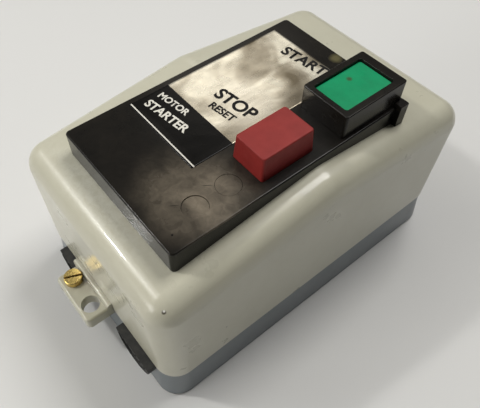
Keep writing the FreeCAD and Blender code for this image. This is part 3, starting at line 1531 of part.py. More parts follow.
def trip_lever():
    y = (pin_posts[0] + d.pin_post / 2 + d.slide_gap, pin_posts[1] - d.pin_post / 2 - d.slide_gap)
    arm = block(around(d.trip_axis_x, 2 * d.lever_half), y, (d.trip_axis_z, d.lever_top))
    hub = rod(d.trip_axis_x, y, d.trip_axis_z, d.lever_hub, "Y")
    hole = rod(d.trip_axis_x, (y[0] - 1, y[1] + 1), d.trip_axis_z, d.trip_pin_radius + d.running_gap, "Y")
    return node("trip_lever", cut(fuse(arm, hub), hole))


def trip_pin():
    reach = d.pin_post / 2
    return node("trip_pin", rod(d.trip_axis_x, (pin_posts[0] - reach, pin_posts[1] + reach),
                                d.trip_axis_z, d.trip_pin_radius, "Y"))


def setting_dial():
    """The current-setting dial, with a pointer slot across it."""
    x, y = d.dial_x, d.dial_y
    base = d.deck_top + d.overload_cover_thick
    top = base + d.dial_height
    knob = rod(x, y, (base + d.seat_gap, top), d.dial_radius)
    shaft = rod(x, y, (d.deck_top - 6, base + 1), d.dial_shaft)
    slot = block(around(x, d.screw_slot_width), (y - d.dial_radius + 2, y + d.dial_radius + 1),
                 (top - 1, top + 1))
    return node("setting_dial", cut(fuse(knob, shaft), slot))


def wire_run(points):
    """An insulated wire along a path of straight lengths and rounded bends."""
    bend = 3 * d.wire_radius.value
    corners = [Vector(*[Size.of(c).value for c in p]) for p in points]
    edges = []
    start = corners[0]
    for before, corner, after in zip(corners, corners[1:], corners[2:]):
        back = (before - corner).normalize()
        ahead = (after - corner).normalize()
        reach = bend / math.tan(back.getAngle(ahead) / 2)
        first = corner + back * reach
        last = corner + ahead * reach
        centre_way = (back + ahead).normalize()
        middle = corner + centre_way * (bend / math.sin(back.getAngle(ahead) / 2) - bend)
        edges.append(Part.LineSegment(start, first).toShape())
        edges.append(Part.Arc(first, middle, last).toShape())
        start = last
    edges.append(Part.LineSegment(start, corners[-1]).toShape())
    path = Part.Wire(edges)
    way = (corners[1] - corners[0]).normalize()
    ring = Part.Wire([Part.Circle(corners[0], way, d.wire_radius.value).toShape()])
    return path.makePipeShell([ring], True, False)


def control_wire():
    """The wire from the start switch round the contactor's end to the coil."""
    r = d.wire_radius
    bar_low, bar_high = start_bar_z
    out = d.start_y + d.switch_bar_outer
    tab_y = magnet_y + d.coil_tab_reach
    tab_x = magnet_x + d.coil_tab_x
    lane = d.contactor_high + d.foot_width + 4
    path = [(d.start_x, out - 2, bar_high + r), (d.start_x, lane, bar_high + r),
            (tab_x, lane, bar_high + r), (tab_x, lane, coil_tab_bottom - r),
            (tab_x, tab_y - 4, coil_tab_bottom - r)]
    obj = doc.addObject("Part::Feature", "wires")
    obj.Shape = wire_run(path)
    obj.Placement = Placement()
    return node("control_wire", obj)


# ---------------------------------------------------------------- assembly

base_tray()
seam_gasket()
node("cable_entry_plugs", group(cable_plug(d.entry_near_x), cable_plug(d.entry_far_x)))
cover_outer = gable_body("cover_form", Size.of(0), d.seam_height)
cover_shell(cover_outer)
cover_screw()
fascia(cover_outer)
fascia_screws()
label_plate()
blanking_plugs()
fascia_catch(cover_outer)
start_shroud()
button("start_button", d.start_x, d.start_y, d.start_width, d.start_length, d.start_top, None)
button_spring("start_spring", d.start_x, d.start_y)
button("stop_button", d.stop_x, d.stop_y, d.stop_width, d.stop_length, d.stop_top, d.stop_taper)
button_spring("stop_spring", d.stop_x, d.stop_y)
button_guide()
guide_screws()

chassis_plate()
chassis_screws()
device_screws()
earth_terminal()

contactor_base()
contactor_housing()
magnet_yoke()
shading_rings()
coil_bobbin()
coil_winding()
coil_terminals()
armature()
armature_pin()
crosshead()
moving_contacts()
contact_springs()
terminals("line_terminals", 1)
terminals("load_terminals", -1)
terminal_screws()
return_springs()

start_switch_bracket()
start_switch_body()
start_switch_screws()
plunger("start_switch_plunger", d.start_x, d.start_y, start_flange_top, None,
        start_bridge_low - d.plunger_rod_length)
contact_bridge("start_switch_bridge", d.start_x, d.start_y, (start_bridge_low, start_bridge_top), False)
fixed_contacts("start_switch_contacts", d.start_x, d.start_y, start_bar_z,
               (start_bar_z[1], start_tip_top))
node("start_switch_spring", spring(d.start_x, d.start_y, (switch_floor, start_bridge_low),
                                   d.small_spring_radius, d.small_spring_wire, 6))

overload_base()
overload_cover()
overload_cover_screws()
overload_terminals()
link_bars()
overload_heaters()
bimetal_strips()
trip_bar()
trip_lever()
trip_pin()
setting_dial()
plunger("reset_plunger", d.stop_x, d.stop_y, stop_flange_top, d.stop_contact_floor,
        d.stop_contact_floor - d.bridge_thick - d.plunger_rod_length)
contact_bridge("stop_bridge", d.stop_x, d.stop_y,
               (d.stop_contact_floor - d.bridge_thick, d.stop_contact_floor), True)
fixed_contacts("stop_contacts", d.stop_x, d.stop_y, stop_bar_z, (stop_tip_low, stop_bar_z[0]))
node("reset_spring", spring(d.stop_x, d.stop_y, (d.reset_seat, d.stop_contact_floor - d.bridge_thick),
                            d.small_spring_radius, d.small_spring_wire, 7))
control_wire()

# ---------------------------------------------------------------- check and write

doc.recompute()
for obj in doc.Objects:
    if "Invalid" in obj.State or "Error" in obj.State:
        raise RuntimeError(f"{obj.Name} ({obj.Label}) did not build: {obj.State}")
for obj in nodes:
    if obj.Shape.isNull() or not obj.Shape.isValid():
        raise RuntimeError(f"{obj.Label} has no valid shape")
os.makedirs("parts", exist_ok=True)
for obj in nodes:
    obj.Shape.exportStep(f"parts/{obj.Label}.step")
    box = obj.Shape.BoundBox
    print(f"{obj.Label:28s} solids {len(obj.Shape.Solids):3d} volume {obj.Shape.Volume:10.1f} "
          f"x {box.XMin:7.2f} {box.XMax:7.2f} y {box.YMin:7.2f} {box.YMax:7.2f} "
          f"z {box.ZMin:7.2f} {box.ZMax:7.2f}")
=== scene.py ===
"""Looks of the enclosed direct-on-line motor starter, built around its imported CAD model.

Metres, in the model's own frame: the wall is at Z = 0, +Y is the START end and +X is the button side.
"""

import json
import math

import bmesh
import bpy
from mathutils import Euler, Matrix, Vector, noise

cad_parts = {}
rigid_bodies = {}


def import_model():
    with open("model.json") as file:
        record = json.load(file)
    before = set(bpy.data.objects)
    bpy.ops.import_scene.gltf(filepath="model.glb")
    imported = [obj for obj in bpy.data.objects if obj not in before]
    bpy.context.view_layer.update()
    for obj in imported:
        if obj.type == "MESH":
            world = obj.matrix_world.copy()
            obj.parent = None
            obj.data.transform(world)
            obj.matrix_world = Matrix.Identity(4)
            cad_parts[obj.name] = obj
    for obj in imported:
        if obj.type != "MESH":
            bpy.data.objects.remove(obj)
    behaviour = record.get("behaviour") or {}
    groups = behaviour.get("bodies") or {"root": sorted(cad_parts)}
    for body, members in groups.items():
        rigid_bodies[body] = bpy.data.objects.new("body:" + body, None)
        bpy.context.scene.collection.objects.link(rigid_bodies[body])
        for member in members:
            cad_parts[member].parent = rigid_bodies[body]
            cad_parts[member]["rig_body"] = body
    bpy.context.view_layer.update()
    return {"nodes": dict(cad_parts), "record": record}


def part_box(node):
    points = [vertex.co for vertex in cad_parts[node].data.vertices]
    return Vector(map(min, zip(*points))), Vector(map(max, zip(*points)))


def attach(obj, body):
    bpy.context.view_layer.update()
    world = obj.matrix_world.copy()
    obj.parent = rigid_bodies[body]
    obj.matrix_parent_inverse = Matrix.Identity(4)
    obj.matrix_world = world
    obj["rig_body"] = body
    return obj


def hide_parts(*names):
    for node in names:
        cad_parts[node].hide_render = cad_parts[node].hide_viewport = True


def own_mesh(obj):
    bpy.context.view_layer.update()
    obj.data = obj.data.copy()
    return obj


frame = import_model()
nodes = frame["nodes"]
MM = 0.001

# ---------------------------------------------------------------- camera, lights and floor

CAMERA_PLACE = Vector((0.1204, -0.1119, 0.2438))
CAMERA_TURN = (36.10, 0.50, 51.79)
CAMERA_LENS = 39.77
CAMERA_SHIFT = (0.0534, 0.0047)


def add_camera():
    data = bpy.data.cameras.new("camera")
    data.lens = CAMERA_LENS
    data.sensor_width = 36.0
    data.shift_x, data.shift_y = CAMERA_SHIFT
    data.clip_start = 0.01
    camera = bpy.data.objects.new("camera", data)
    camera.location = CAMERA_PLACE
    camera.rotation_euler = Euler([math.radians(a) for a in CAMERA_TURN])
    bpy.context.scene.collection.objects.link(camera)
    bpy.context.scene.camera = camera


def add_area(name, direction, distance, size, power, colour=(1, 1, 1)):
    """A soft rectangular light that faces the object's middle."""
    data = bpy.data.lights.new(name, "AREA")
    data.shape = "RECTANGLE"
    data.size, data.size_y = size
    data.energy = power
    data.color = colour
    light = bpy.data.objects.new(name, data)
    way = Vector(direction).normalized()
    light.location = way * distance + Vector((0, 0, 0.05))
    light.rotation_euler = way.to_track_quat("Z", "Y").to_euler()
    bpy.context.scene.collection.objects.link(light)
    return light


def add_world():
    """A pale studio: bright toward -X and -Y, dim toward +X."""
    world = bpy.data.worlds.new("studio")
    bpy.context.scene.world = world
    world.use_nodes = True
    tree = world.node_tree
    back = tree.nodes["Background"]
    place = tree.nodes.new("ShaderNodeTexCoord")
    toward = tree.nodes.new("ShaderNodeVectorMath")
    toward.operation = "DOT_PRODUCT"
    toward.inputs[1].default_value = Vector((-0.75, -0.35, 0.45)).normalized()
    ramp = tree.nodes.new("ShaderNodeValToRGB")
    tree.links.new(place.outputs["Generated"], toward.inputs[0])
    tree.links.new(toward.outputs["Value"], ramp.inputs[0])
    tree.links.new(ramp.outputs[0], back.inputs["Color"])
    ramp.color_ramp.elements[0].position = 0.0
    ramp.color_ramp.elements[0].color = (0.04, 0.04, 0.04, 1)
    ramp.color_ramp.elements[1].position = 0.9
    ramp.color_ramp.elements[1].color = (0.36, 0.36, 0.345, 1)
    back.inputs["Strength"].default_value = 0.55


def add_floor():
    mesh = bpy.data.meshes.new("floor")
    side = 3.0
    corners = [(-side, -side, 0), (side, -side, 0), (side, side, 0), (-side, side, 0)]
    mesh.from_pydata(corners, [], [(0, 1, 2, 3)])
    floor = bpy.data.objects.new("floor", mesh)
    bpy.context.scene.collection.objects.link(floor)
    material = bpy.data.materials.new("floor")
    material.use_nodes = True
    shader = material.node_tree.nodes["Principled BSDF"]
    shader.inputs["Base Color"].default_value = (0.74, 0.74, 0.73, 1)
    shader.inputs["Roughness"].default_value = 0.85
    mesh.materials.append(material)


bpy.context.scene.view_settings.view_transform = "Standard"
add_camera()
add_world()
add_area("key", (-0.485, -0.473, 0.734), 1.1, (0.07, 0.07), 2.9, (1.0, 0.985, 0.95))
add_area("soft_key", (-0.50, -0.42, 0.80), 1.2, (0.60, 0.60), 2.3, (1.0, 0.985, 0.95))
add_area("overhead", (-0.02, 0.46, 0.90), 1.1, (0.50, 0.42), 6.8, (1.0, 0.985, 0.96))
add_area("sky_panel", (-0.58, 0.46, 0.68), 1.0, (0.30, 0.20), 0.24, (1.0, 0.93, 0.82))
add_area("front_fill", (-0.15, -1.0, 0.30), 1.1, (0.5, 0.4), 3.1, (1.0, 0.985, 0.95))
add_floor()

# ---------------------------------------------------------------- material kit


class Kit:
    """One node-based material, with short calls for the nodes that these finishes share."""

    def __init__(self, name):
        self.material = bpy.data.materials.new(name)
        self.material.use_nodes = True
        self.tree = self.material.node_tree
        self.shader = self.tree.nodes["Principled BSDF"]
        self.place = self.tree.nodes.new("ShaderNodeTexCoord").outputs["Object"]

    def join(self, source, target):
        """Feed an input from a node's output, a colour or a plain number."""
        if isinstance(source, tuple):
            target.default_value = (*source, 1.0)
        elif isinstance(source, (int, float)):
            target.default_value = (source, source, source, 1.0) if target.type == "RGBA" else source
        else:
            self.tree.links.new(source, target)

    def set(self, **inputs):
        for name, value in inputs.items():
            self.join(value, self.shader.inputs[name.replace("_", " ")])

    def noise(self, size_mm, detail=4.0, rough=0.55, stretch=None, warp=0.0):
        """Noise whose features are about size_mm across."""
        node = self.tree.nodes.new("ShaderNodeTexNoise")
        node.inputs["Scale"].default_value = 1.0 / (size_mm * MM)
        node.inputs["Detail"].default_value = detail
        node.inputs["Roughness"].default_value = rough
        node.inputs["Distortion"].default_value = warp
        self.join(self.stretched(stretch) if stretch else self.place, node.inputs["Vector"])
        return node.outputs["Fac"]

    def stretched(self, factors):
        node = self.tree.nodes.new("ShaderNodeMapping")
        node.inputs["Scale"].default_value = factors
        self.join(self.place, node.inputs["Vector"])
        return node.outputs[0]

    def cells(self, size_mm):
        """The distance to the nearest of points scattered about size_mm apart."""
        node = self.tree.nodes.new("ShaderNodeTexVoronoi")
        node.inputs["Scale"].default_value = 1.0 / (size_mm * MM)
        self.join(self.place, node.inputs["Vector"])
        return node.outputs["Distance"]

    def ramp(self, source, *stops):
        """A colour or a grey along a source. A stop is (place, colour or grey)."""
        node = self.tree.nodes.new("ShaderNodeValToRGB")
        points = node.color_ramp.elements
        while len(points) < len(stops):
            points.new(0.5)
        for point, (at, value) in zip(points, stops):
            point.position = at
            point.color = (*value, 1) if isinstance(value, tuple) else (value, value, value, 1)
        self.join(source, node.inputs[0])
        return node.outputs[0]

    def math(self, kind, a, b=0.0):
        node = self.tree.nodes.new("ShaderNodeMath")
        node.operation = kind
        self.join(a, node.inputs[0])
        self.join(b, node.inputs[1])
        return node.outputs[0]

    def mix(self, share, a, b):
        node = self.tree.nodes.new("ShaderNodeMix")
        node.data_type = "RGBA"
        share_input, a_input, b_input = (node.inputs[i] for i in (0, 6, 7))
        self.join(share, share_input)
        self.join(a, a_input)
        self.join(b, b_input)
        return node.outputs[2]

    def bump(self, height, depth_mm, under=None):
        node = self.tree.nodes.new("ShaderNodeBump")
        node.inputs["Distance"].default_value = depth_mm * MM
        self.join(height, node.inputs["Height"])
        if under is not None:
            self.join(under, node.inputs["Normal"])
        self.join(node.outputs[0], self.shader.inputs["Normal"])
        return node.outputs[0]

    def axis(self, letter):
        node = self.tree.nodes.new("ShaderNodeSeparateXYZ")
        self.join(self.place, node.inputs[0])
        return node.outputs[letter]

    def spot(self, centre, radius_mm, soft_mm):
        """1 within a radius of a point, 0 outside it, with a noisy edge."""
        offset = self.tree.nodes.new("ShaderNodeVectorMath")
        offset.operation = "DISTANCE"
        self.join(self.place, offset.inputs[0])
        offset.inputs[1].default_value = [c * MM for c in centre]
        ragged = self.math("MULTIPLY", self.noise(radius_mm * 1.5, 3, 0.6), 0.6 * radius_mm * MM)
        away = self.math("ADD", offset.outputs["Value"], ragged)
        inner = (radius_mm * 1.3 - soft_mm) * MM
        node = self.tree.nodes.new("ShaderNodeMapRange")
        node.inputs["From Min"].default_value = inner + 2 * soft_mm * MM
        node.inputs["From Max"].default_value = inner
        self.join(away, node.inputs["Value"])
        return node.outputs[0]

    def line(self, start, end, width_mm):
        """1 along a thin mark from one point to another, given as X and Y in millimetres."""
        start, end = (Vector((x * MM, y * MM, 0)) for x, y in (start, end))
        along = end - start
        node = self.tree.nodes.new("ShaderNodeMapping")
        node.vector_type = "TEXTURE"
        node.inputs["Location"].default_value = (start + end) / 2
        node.inputs["Rotation"].default_value = (0, 0, math.atan2(along.y, along.x))
        node.inputs["Scale"].default_value = (along.length / 2, width_mm * MM / 2, 1)
        self.join(self.place, node.inputs["Vector"])
        flat = self.tree.nodes.new("ShaderNodeVectorMath")
        flat.operation = "MULTIPLY"
        flat.inputs[1].default_value = (1, 1, 0)
        self.join(node.outputs[0], flat.inputs[0])
        away = self.tree.nodes.new("ShaderNodeVectorMath")
        away.operation = "LENGTH"
        self.join(flat.outputs[0], away.inputs[0])
        return self.smooth(away.outputs["Value"], 1.0, 0.4)

    def near(self, centre, reach):
        """1 at a point, falling smoothly to 0 at a reach along each axis. Both are in millimetres."""
        node = self.tree.nodes.new("ShaderNodeMapping")
        node.inputs["Location"].default_value = [-c / r for c, r in zip(centre, reach)]
        node.inputs["Scale"].default_value = [1 / (r * MM) for r in reach]
        self.join(self.place, node.inputs["Vector"])
        away = self.tree.nodes.new("ShaderNodeVectorMath")
        away.operation = "LENGTH"
        self.join(node.outputs[0], away.inputs[0])
        return self.smooth(away.outputs["Value"], 1.0, 0.1)

    def smooth(self, source, start, end):
        """A soft step that is 0 at start and 1 at end."""
        node = self.tree.nodes.new("ShaderNodeMapRange")
        node.interpolation_type = "SMOOTHSTEP"
        node.inputs["From Min"].default_value = start
        node.inputs["From Max"].default_value = end
        self.join(source, node.inputs["Value"])
        return node.outputs[0]

    def corner_soil_and_shade(self, reach_mm, most):
        """Painted shade with some soiling, from ambient occlusion: up to `most` in an inner corner, 0 in the
        open, with a ragged edge.
        """
        node = self.tree.nodes.new("ShaderNodeAmbientOcclusion")
        node.samples = 6
        node.inputs["Distance"].default_value = reach_mm * MM
        near = self.ramp(node.outputs["AO"], (0.35, 1.0), (0.68, 0.0))
        ragged = self.ramp(self.noise(reach_mm * 0.7, 5, 0.65), (0.30, 0.25), (0.62, 1.0))
        return self.math("MULTIPLY", self.math("MULTIPLY", near, ragged), most)

    def edges(self, radius_mm):
        """Where an edge is sharp, for wear: the bevelled normal leaves the true one."""
        bevel = self.tree.nodes.new("ShaderNodeBevel")
        bevel.samples = 4
        bevel.inputs["Radius"].default_value = radius_mm * MM
        normal = self.tree.nodes.new("ShaderNodeNewGeometry").outputs["Normal"]
        dot = self.tree.nodes.new("ShaderNodeVectorMath")
        dot.operation = "DOT_PRODUCT"
        self.join(bevel.outputs[0], dot.inputs[0])
        self.join(normal, dot.inputs[1])
        return self.math("SUBTRACT", 1.0, dot.outputs["Value"])


BARE = (0.055, 0.042, 0.030)
BROWN = (0.13, 0.085, 0.045)
COVER_MARKS = [
    # centre in millimetres, radius, softness, colour, most
    ((48.2, -78.8, 76.6), 0.80, 0.2, BARE, 0.9),
    ((48.0, -78.6, 76.9), 0.45, 0.15, (0.85, 0.84, 0.78), 1.0),
    ((-23.0, -84.0, 76.0), 0.40, 0.1, BARE, 0.8),
    ((50.6, -71.5, 66.0), 0.50, 0.15, BARE, 0.9),
    ((53.0, -54.7, 38.5), 0.40, 0.1, BARE, 0.8),
    ((42.5, 33.0, 82.0), 0.45, 0.15, BARE, 0.8),
    ((52.4, 10.0, 70.0), 0.30, 0.1, BARE, 0.7),
    ((-21.0, -85.5, 24.0), 2.2, 1.2, BROWN, 0.6),
    ((-8.0, -86.8, 25.5), 4.5, 3.0, BROWN, 0.35),
]


def enamel(name, colour, dark, roughness, marks=()):
    """Stoved enamel: slight orange peel, faint soiling, a pale painted reflection along the -Y slope,
    painted shade with some soiling in the corners, and the given marks.
    """
    kit = Kit(name)
    clouds = kit.ramp(kit.noise(38, 3, 0.5), (0.30, 0.0), (0.80, 1.0))
    fine = kit.ramp(kit.noise(5, 5, 0.6), (0.40, 0.0), (0.85, 1.0))
    soiled = kit.math("ADD", kit.math("MULTIPLY", clouds, 0.22), kit.math("MULTIPLY", fine, 0.14))
    paint = kit.mix(soiled, colour, dark)
    if marks:
        # painted reflection: a pale mottled band along the -Y slope, between the fascia and the shoulder,
        # stands in for the broad reflection of the lamps
        reflection_band = kit.near((-6, -73, 84), (58, 12, 14))
        reflection_mottle = kit.ramp(kit.noise(2.6, 5, 0.65, warp=0.6), (0.36, 0.0), (0.62, 1.0))
        pale = kit.math("MULTIPLY", reflection_band, kit.math("MULTIPLY", reflection_mottle, 0.6))
        paint = kit.mix(pale, paint, (0.74, 0.735, 0.64))
    # painted shade: corners found by ambient occlusion are darkened to a dark brown, partly soiling and
    # partly shade
    paint = kit.mix(kit.corner_soil_and_shade(3.0, 0.75), paint, (0.075, 0.058, 0.038))
    for centre, radius, soft, tint, most in marks:
        paint = kit.mix(kit.math("MULTIPLY", kit.spot(centre, radius, soft), most), paint, tint)
    kit.set(Base_Color=paint, Coat_Weight=0.3, Coat_Roughness=0.05,
            Roughness=kit.ramp(kit.noise(15, 4), (0.3, roughness), (0.8, roughness + 0.12)))
    peel = kit.bump(kit.noise(2.6, 2, 0.5), 0.030)
    kit.bump(kit.noise(0.6, 2, 0.5), 0.003, peel)
    return kit.material


def black_plastic():
    """Glossy black moulding under a brown haze on its top face, thickest round the blanks: partly a thin
    layer of old handling, partly a painted reflection.
    """
    kit = Kit("black_plastic")
    low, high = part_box("blanking_plugs")
    middle = ((low.x + high.x) / 2 / MM - 4, (low.y + high.y) / 2 / MM - 4, high.z / MM)
    # painted reflection: the brown haze is placed round the blanks and kept to the top face only. It stands
    # partly for a layer of old handling and partly for the reflection of the room
    area = kit.near(middle, (31, 27, 30))
    clouds = kit.ramp(kit.noise(17, 4, 0.5, warp=0.8), (0.28, 0.25), (0.72, 1.0))
    smears = kit.ramp(kit.noise(3.5, 5, 0.6, warp=1.0), (0.30, 0.6), (0.70, 1.0))
    fascia_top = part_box("fascia")[1].z
    top = kit.smooth(kit.axis("Z"), fascia_top - 0.9 * MM, fascia_top - 0.55 * MM)
    haze_reach = kit.math("MULTIPLY", kit.math("ADD", kit.math("MULTIPLY", area, 0.95), 0.05), top)
    worn_haze_and_reflection = kit.math("MULTIPLY", haze_reach, kit.math("MULTIPLY", clouds, smears))
    specks = kit.ramp(kit.cells(3.2), (0.0, 1.0), (0.06, 0.0))
    rare = kit.ramp(kit.noise(6, 2), (0.58, 0.0), (0.64, 0.6))
    dust_and_reflection = kit.math("MINIMUM", kit.math("ADD", worn_haze_and_reflection, kit.math("MULTIPLY", specks, rare)), 1.0)
    surface = kit.mix(dust_and_reflection, (0.005, 0.0048, 0.0045), (0.27, 0.225, 0.165))
    for start, end in (((21.7, -42.6), (24.8, -38.3)), ((21.6, -57.6), (24.6, -53.2))):
        surface = kit.mix(kit.line(start, end, 0.35), surface, (0.008, 0.007, 0.006))
    surface = kit.mix(kit.spot((32.9, -63.1, high.z / MM), 0.45, 0.15), surface, (0.006, 0.005, 0.005))
    residue = kit.math("MULTIPLY", kit.spot((2.0, 48.5, high.z / MM), 2.4, 1.2), 0.85)
    surface = kit.mix(residue, surface, (0.13, 0.115, 0.055))
    kit.set(Base_Color=surface, Roughness=kit.ramp(dust_and_reflection, (0.0, 0.20), (1.0, 0.50)), Specular_IOR_Level=0.22)
    kit.bump(kit.noise(1.8, 3, 0.6), 0.010)
    return kit.material


def silver_label():
    """Crumpled silver foil with painted reflections in broad light and dark zones, a printed black block at
    the -Y end and a thin white line under it.
    """
    kit = Kit("silver_label")
    low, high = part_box("label_plate")
    y = kit.axis("Y")
    block_end = low.y + 20.1 * MM
    printed = kit.math("LESS_THAN", y, block_end)
    line_from = kit.math("GREATER_THAN", y, low.y + 0.9 * MM)
    line_to = kit.math("LESS_THAN", y, low.y + 1.5 * MM)
    line = kit.math("MULTIPLY", line_from, line_to)
    # painted reflection: the broad bright zone, the dark zone and the darker streaks are reflections of the
    # room painted into the foil's colour
    shade = kit.ramp(kit.noise(21, 2, 0.45, stretch=(1.0, 0.8, 1.0), warp=1.0),
                     (0.32, (0.20, 0.17, 0.12)), (0.50, (0.55, 0.50, 0.40)), (0.62, (1.0, 0.95, 0.80)))
    bright = kit.near((-2.0, -2.0, high.z / MM), (24, 22, 40))
    shade = kit.mix(kit.math("MULTIPLY", bright, 0.75), shade, (1.0, 0.95, 0.82))
    dark = kit.near((11.0, 18.0, high.z / MM), (10, 13, 40))
    shade = kit.mix(kit.math("MULTIPLY", dark, 0.8), shade, (0.10, 0.082, 0.055))
    streaks = kit.ramp(kit.noise(2.5, 3, 0.5, stretch=(1.0, 0.2, 1.0), warp=0.3), (0.45, 0.0), (0.80, 0.35))
    surface = kit.mix(printed, kit.mix(streaks, shade, (0.22, 0.18, 0.12)), (0.005, 0.0047, 0.0045))
    surface = kit.mix(line, surface, (0.75, 0.73, 0.66))
    ink = kit.math("SUBTRACT", printed, line)
    metal = kit.math("MULTIPLY", kit.math("SUBTRACT", 1.0, printed), 0.72)
    kit.set(Base_Color=surface, Metallic=metal, Specular_IOR_Level=0.12,
            Roughness=kit.mix(ink, kit.ramp(kit.noise(7, 3), (0.3, 0.20), (0.8, 0.34)), 0.22))
    kit.bump(kit.noise(4.0, 3, 0.5, warp=0.4), 0.04)
    return kit.material


def moulded(name, colour, shade, roughness, grain_mm=0.35, gloss=0.5):
    """A plain moulding: faint mottling, fine grain and paler worn edges."""
    kit = Kit(name)
    mottle = kit.ramp(kit.noise(6, 5, 0.6), (0.35, 0.0), (0.75, 1.0))
    body = kit.mix(kit.math("MULTIPLY", mottle, 0.55), colour, shade)
    worn = kit.ramp(kit.edges(0.35), (0.02, 0.0), (0.25, 1.0))
    rub = kit.ramp(kit.noise(1.5, 4, 0.7), (0.45, 0.0), (0.65, 0.5))
    pale = tuple(min(1.0, 0.08 + 1.35 * c) for c in colour)
    kit.set(Base_Color=kit.mix(kit.math("MULTIPLY", worn, rub), body, pale),
            Roughness=kit.ramp(kit.noise(3, 4), (0.3, roughness), (0.8, roughness + 0.14)),
            Specular_IOR_Level=gloss)
    kit.bump(kit.noise(grain_mm, 3, 0.6), 0.01)
    return kit.material


def green_plastic():
    kit = Kit("green_plastic")
    mottle = kit.ramp(kit.noise(7, 5, 0.6), (0.3, (0.0, 0.31, 0.125)), (0.8, (0.0, 0.23, 0.09)))
    stain = kit.spot((22.3, 32.6, 101.7), 1.1, 0.5)
    kit.set(Base_Color=kit.mix(kit.math("MULTIPLY", stain, 0.8), mottle, (0.05, 0.05, 0.015)),
            Roughness=kit.ramp(kit.noise(4, 4), (0.3, 0.34), (0.8, 0.48)), Specular_IOR_Level=0.2)
    kit.bump(kit.noise(1.0, 3, 0.6), 0.012)
    return kit.material


def brass():
    """Turned brass with red-brown spots of tarnish."""
    kit = Kit("brass")
    tarnish = kit.ramp(kit.noise(1.3, 5, 0.7), (0.52, 0.0), (0.70, 1.0))
    spots = kit.ramp(kit.cells(1.9), (0.0, 1.0), (0.22, 0.0))
    spoiled = kit.math("ADD", kit.math("MULTIPLY", tarnish, 0.6), kit.math("MULTIPLY", spots, 0.7))
    dull = kit.math("MINIMUM", spoiled, 1.0)
    # painted shade: crevices found by ambient occlusion turn near black and lose their metal, partly soiling
    # and partly shade
    soil_and_shade = kit.corner_soil_and_shade(1.6, 1.0)
    face = kit.mix(dull, (0.80, 0.60, 0.21), (0.40, 0.16, 0.06))
    shine = kit.math("MULTIPLY", kit.ramp(dull, (0, 1.0), (1, 0.55)), kit.math("SUBTRACT", 1.0, soil_and_shade))
    kit.set(Base_Color=kit.mix(soil_and_shade, face, (0.012, 0.009, 0.006)), Metallic=shine,
            Roughness=kit.ramp(dull, (0.0, 0.22), (1.0, 0.5)))
    kit.bump(kit.noise(0.4, 3, 0.6, stretch=(1, 6, 1)), 0.01)
    return kit.material


def metal(name, colour, shade, roughness):
    """Bare or plated metal with drawn or rolled lines and dull patches."""
    kit = Kit(name)
    patches = kit.ramp(kit.noise(4, 5, 0.65), (0.35, 0.0), (0.75, 1.0))
    kit.set(Base_Color=kit.mix(patches, colour, shade), Metallic=1.0,
            Roughness=kit.ramp(kit.noise(2, 4), (0.3, roughness), (0.8, roughness + 0.18)))
    kit.bump(kit.noise(0.5, 3, 0.6, stretch=(1, 5, 1)), 0.008)
    return kit.material


def rubber(name, colour):
    kit = Kit(name)
    bloom = kit.ramp(kit.noise(5, 6, 0.7), (0.45, 0.0), (0.8, 1.0))
    kit.set(Base_Color=kit.mix(bloom, colour, (0.05, 0.048, 0.043)), Roughness=0.62)
    kit.bump(kit.noise(0.6, 4, 0.7), 0.03)
    return kit.material


def laminated(name):
    """Core steel: the edges of thin sheets stacked along Y."""
    kit = Kit(name)
    wave = kit.tree.nodes.new("ShaderNodeTexWave")
    wave.bands_direction = "Y"
    wave.inputs["Scale"].default_value = 320
    wave.inputs["Distortion"].default_value = 0.3
    kit.join(kit.place, wave.inputs["Vector"])
    sheets = wave.outputs["Fac"]
    rust = kit.ramp(kit.noise(5, 6, 0.7), (0.5, 0.0), (0.72, 0.6))
    steel = kit.ramp(sheets, (0.0, (0.16, 0.16, 0.17)), (1.0, (0.40, 0.41, 0.42)))
    kit.set(Base_Color=kit.mix(rust, steel, (0.22, 0.12, 0.06)), Metallic=0.9, Roughness=0.45)
    kit.bump(sheets, 0.06)
    return kit.material


def winding():
    """Coil wire under red-brown varnished tape."""
    kit = Kit("winding")
    wave = kit.tree.nodes.new("ShaderNodeTexWave")
    wave.bands_direction = "Z"
    wave.inputs["Scale"].default_value = 420
    wave.inputs["Distortion"].default_value = 1.5
    kit.join(kit.place, wave.inputs["Vector"])
    kit.set(Base_Color=kit.ramp(wave.outputs["Fac"], (0.0, (0.10, 0.03, 0.012)), (1.0, (0.34, 0.12, 0.05))),
            Roughness=0.3, Coat_Weight=0.4)
    kit.bump(wave.outputs["Fac"], 0.12)
    return kit.material


FINISHES = {
    "grey_enamel": enamel("grey_enamel", (0.585, 0.57, 0.455), (0.43, 0.40, 0.30), 0.26, COVER_MARKS),
    "base_enamel": enamel("base_enamel", (0.185, 0.212, 0.230), (0.10, 0.11, 0.11), 0.36),
    "black_rubber": rubber("black_rubber", (0.012, 0.012, 0.012)),
    "gasket": rubber("gasket", (0.02, 0.02, 0.02)),
    "brass": brass(),
    "black_plastic": black_plastic(),
    "silver_label": silver_label(),
    "red_plastic": moulded("red_plastic", (0.285, 0.024, 0.020), (0.19, 0.016, 0.014), 0.45, 0.5, 0.3),
    "green_plastic": green_plastic(),
    "steel": metal("steel", (0.62, 0.61, 0.55), (0.42, 0.41, 0.36), 0.26),
    "spring_steel": metal("spring_steel", (0.50, 0.50, 0.50), (0.34, 0.34, 0.33), 0.24),
    "core_steel": laminated("core_steel"),
    "copper": metal("copper", (0.78, 0.36, 0.20), (0.45, 0.19, 0.10), 0.24),
    "winding": winding(),
    "dark_moulding": moulded("dark_moulding", (0.030, 0.024, 0.021), (0.018, 0.015, 0.014), 0.34),
    "cream_moulding": moulded("cream_moulding", (0.62, 0.56, 0.42), (0.52, 0.45, 0.31), 0.38),
    "insulation": moulded("insulation", (0.03, 0.05, 0.24), (0.02, 0.03, 0.16), 0.32),
}

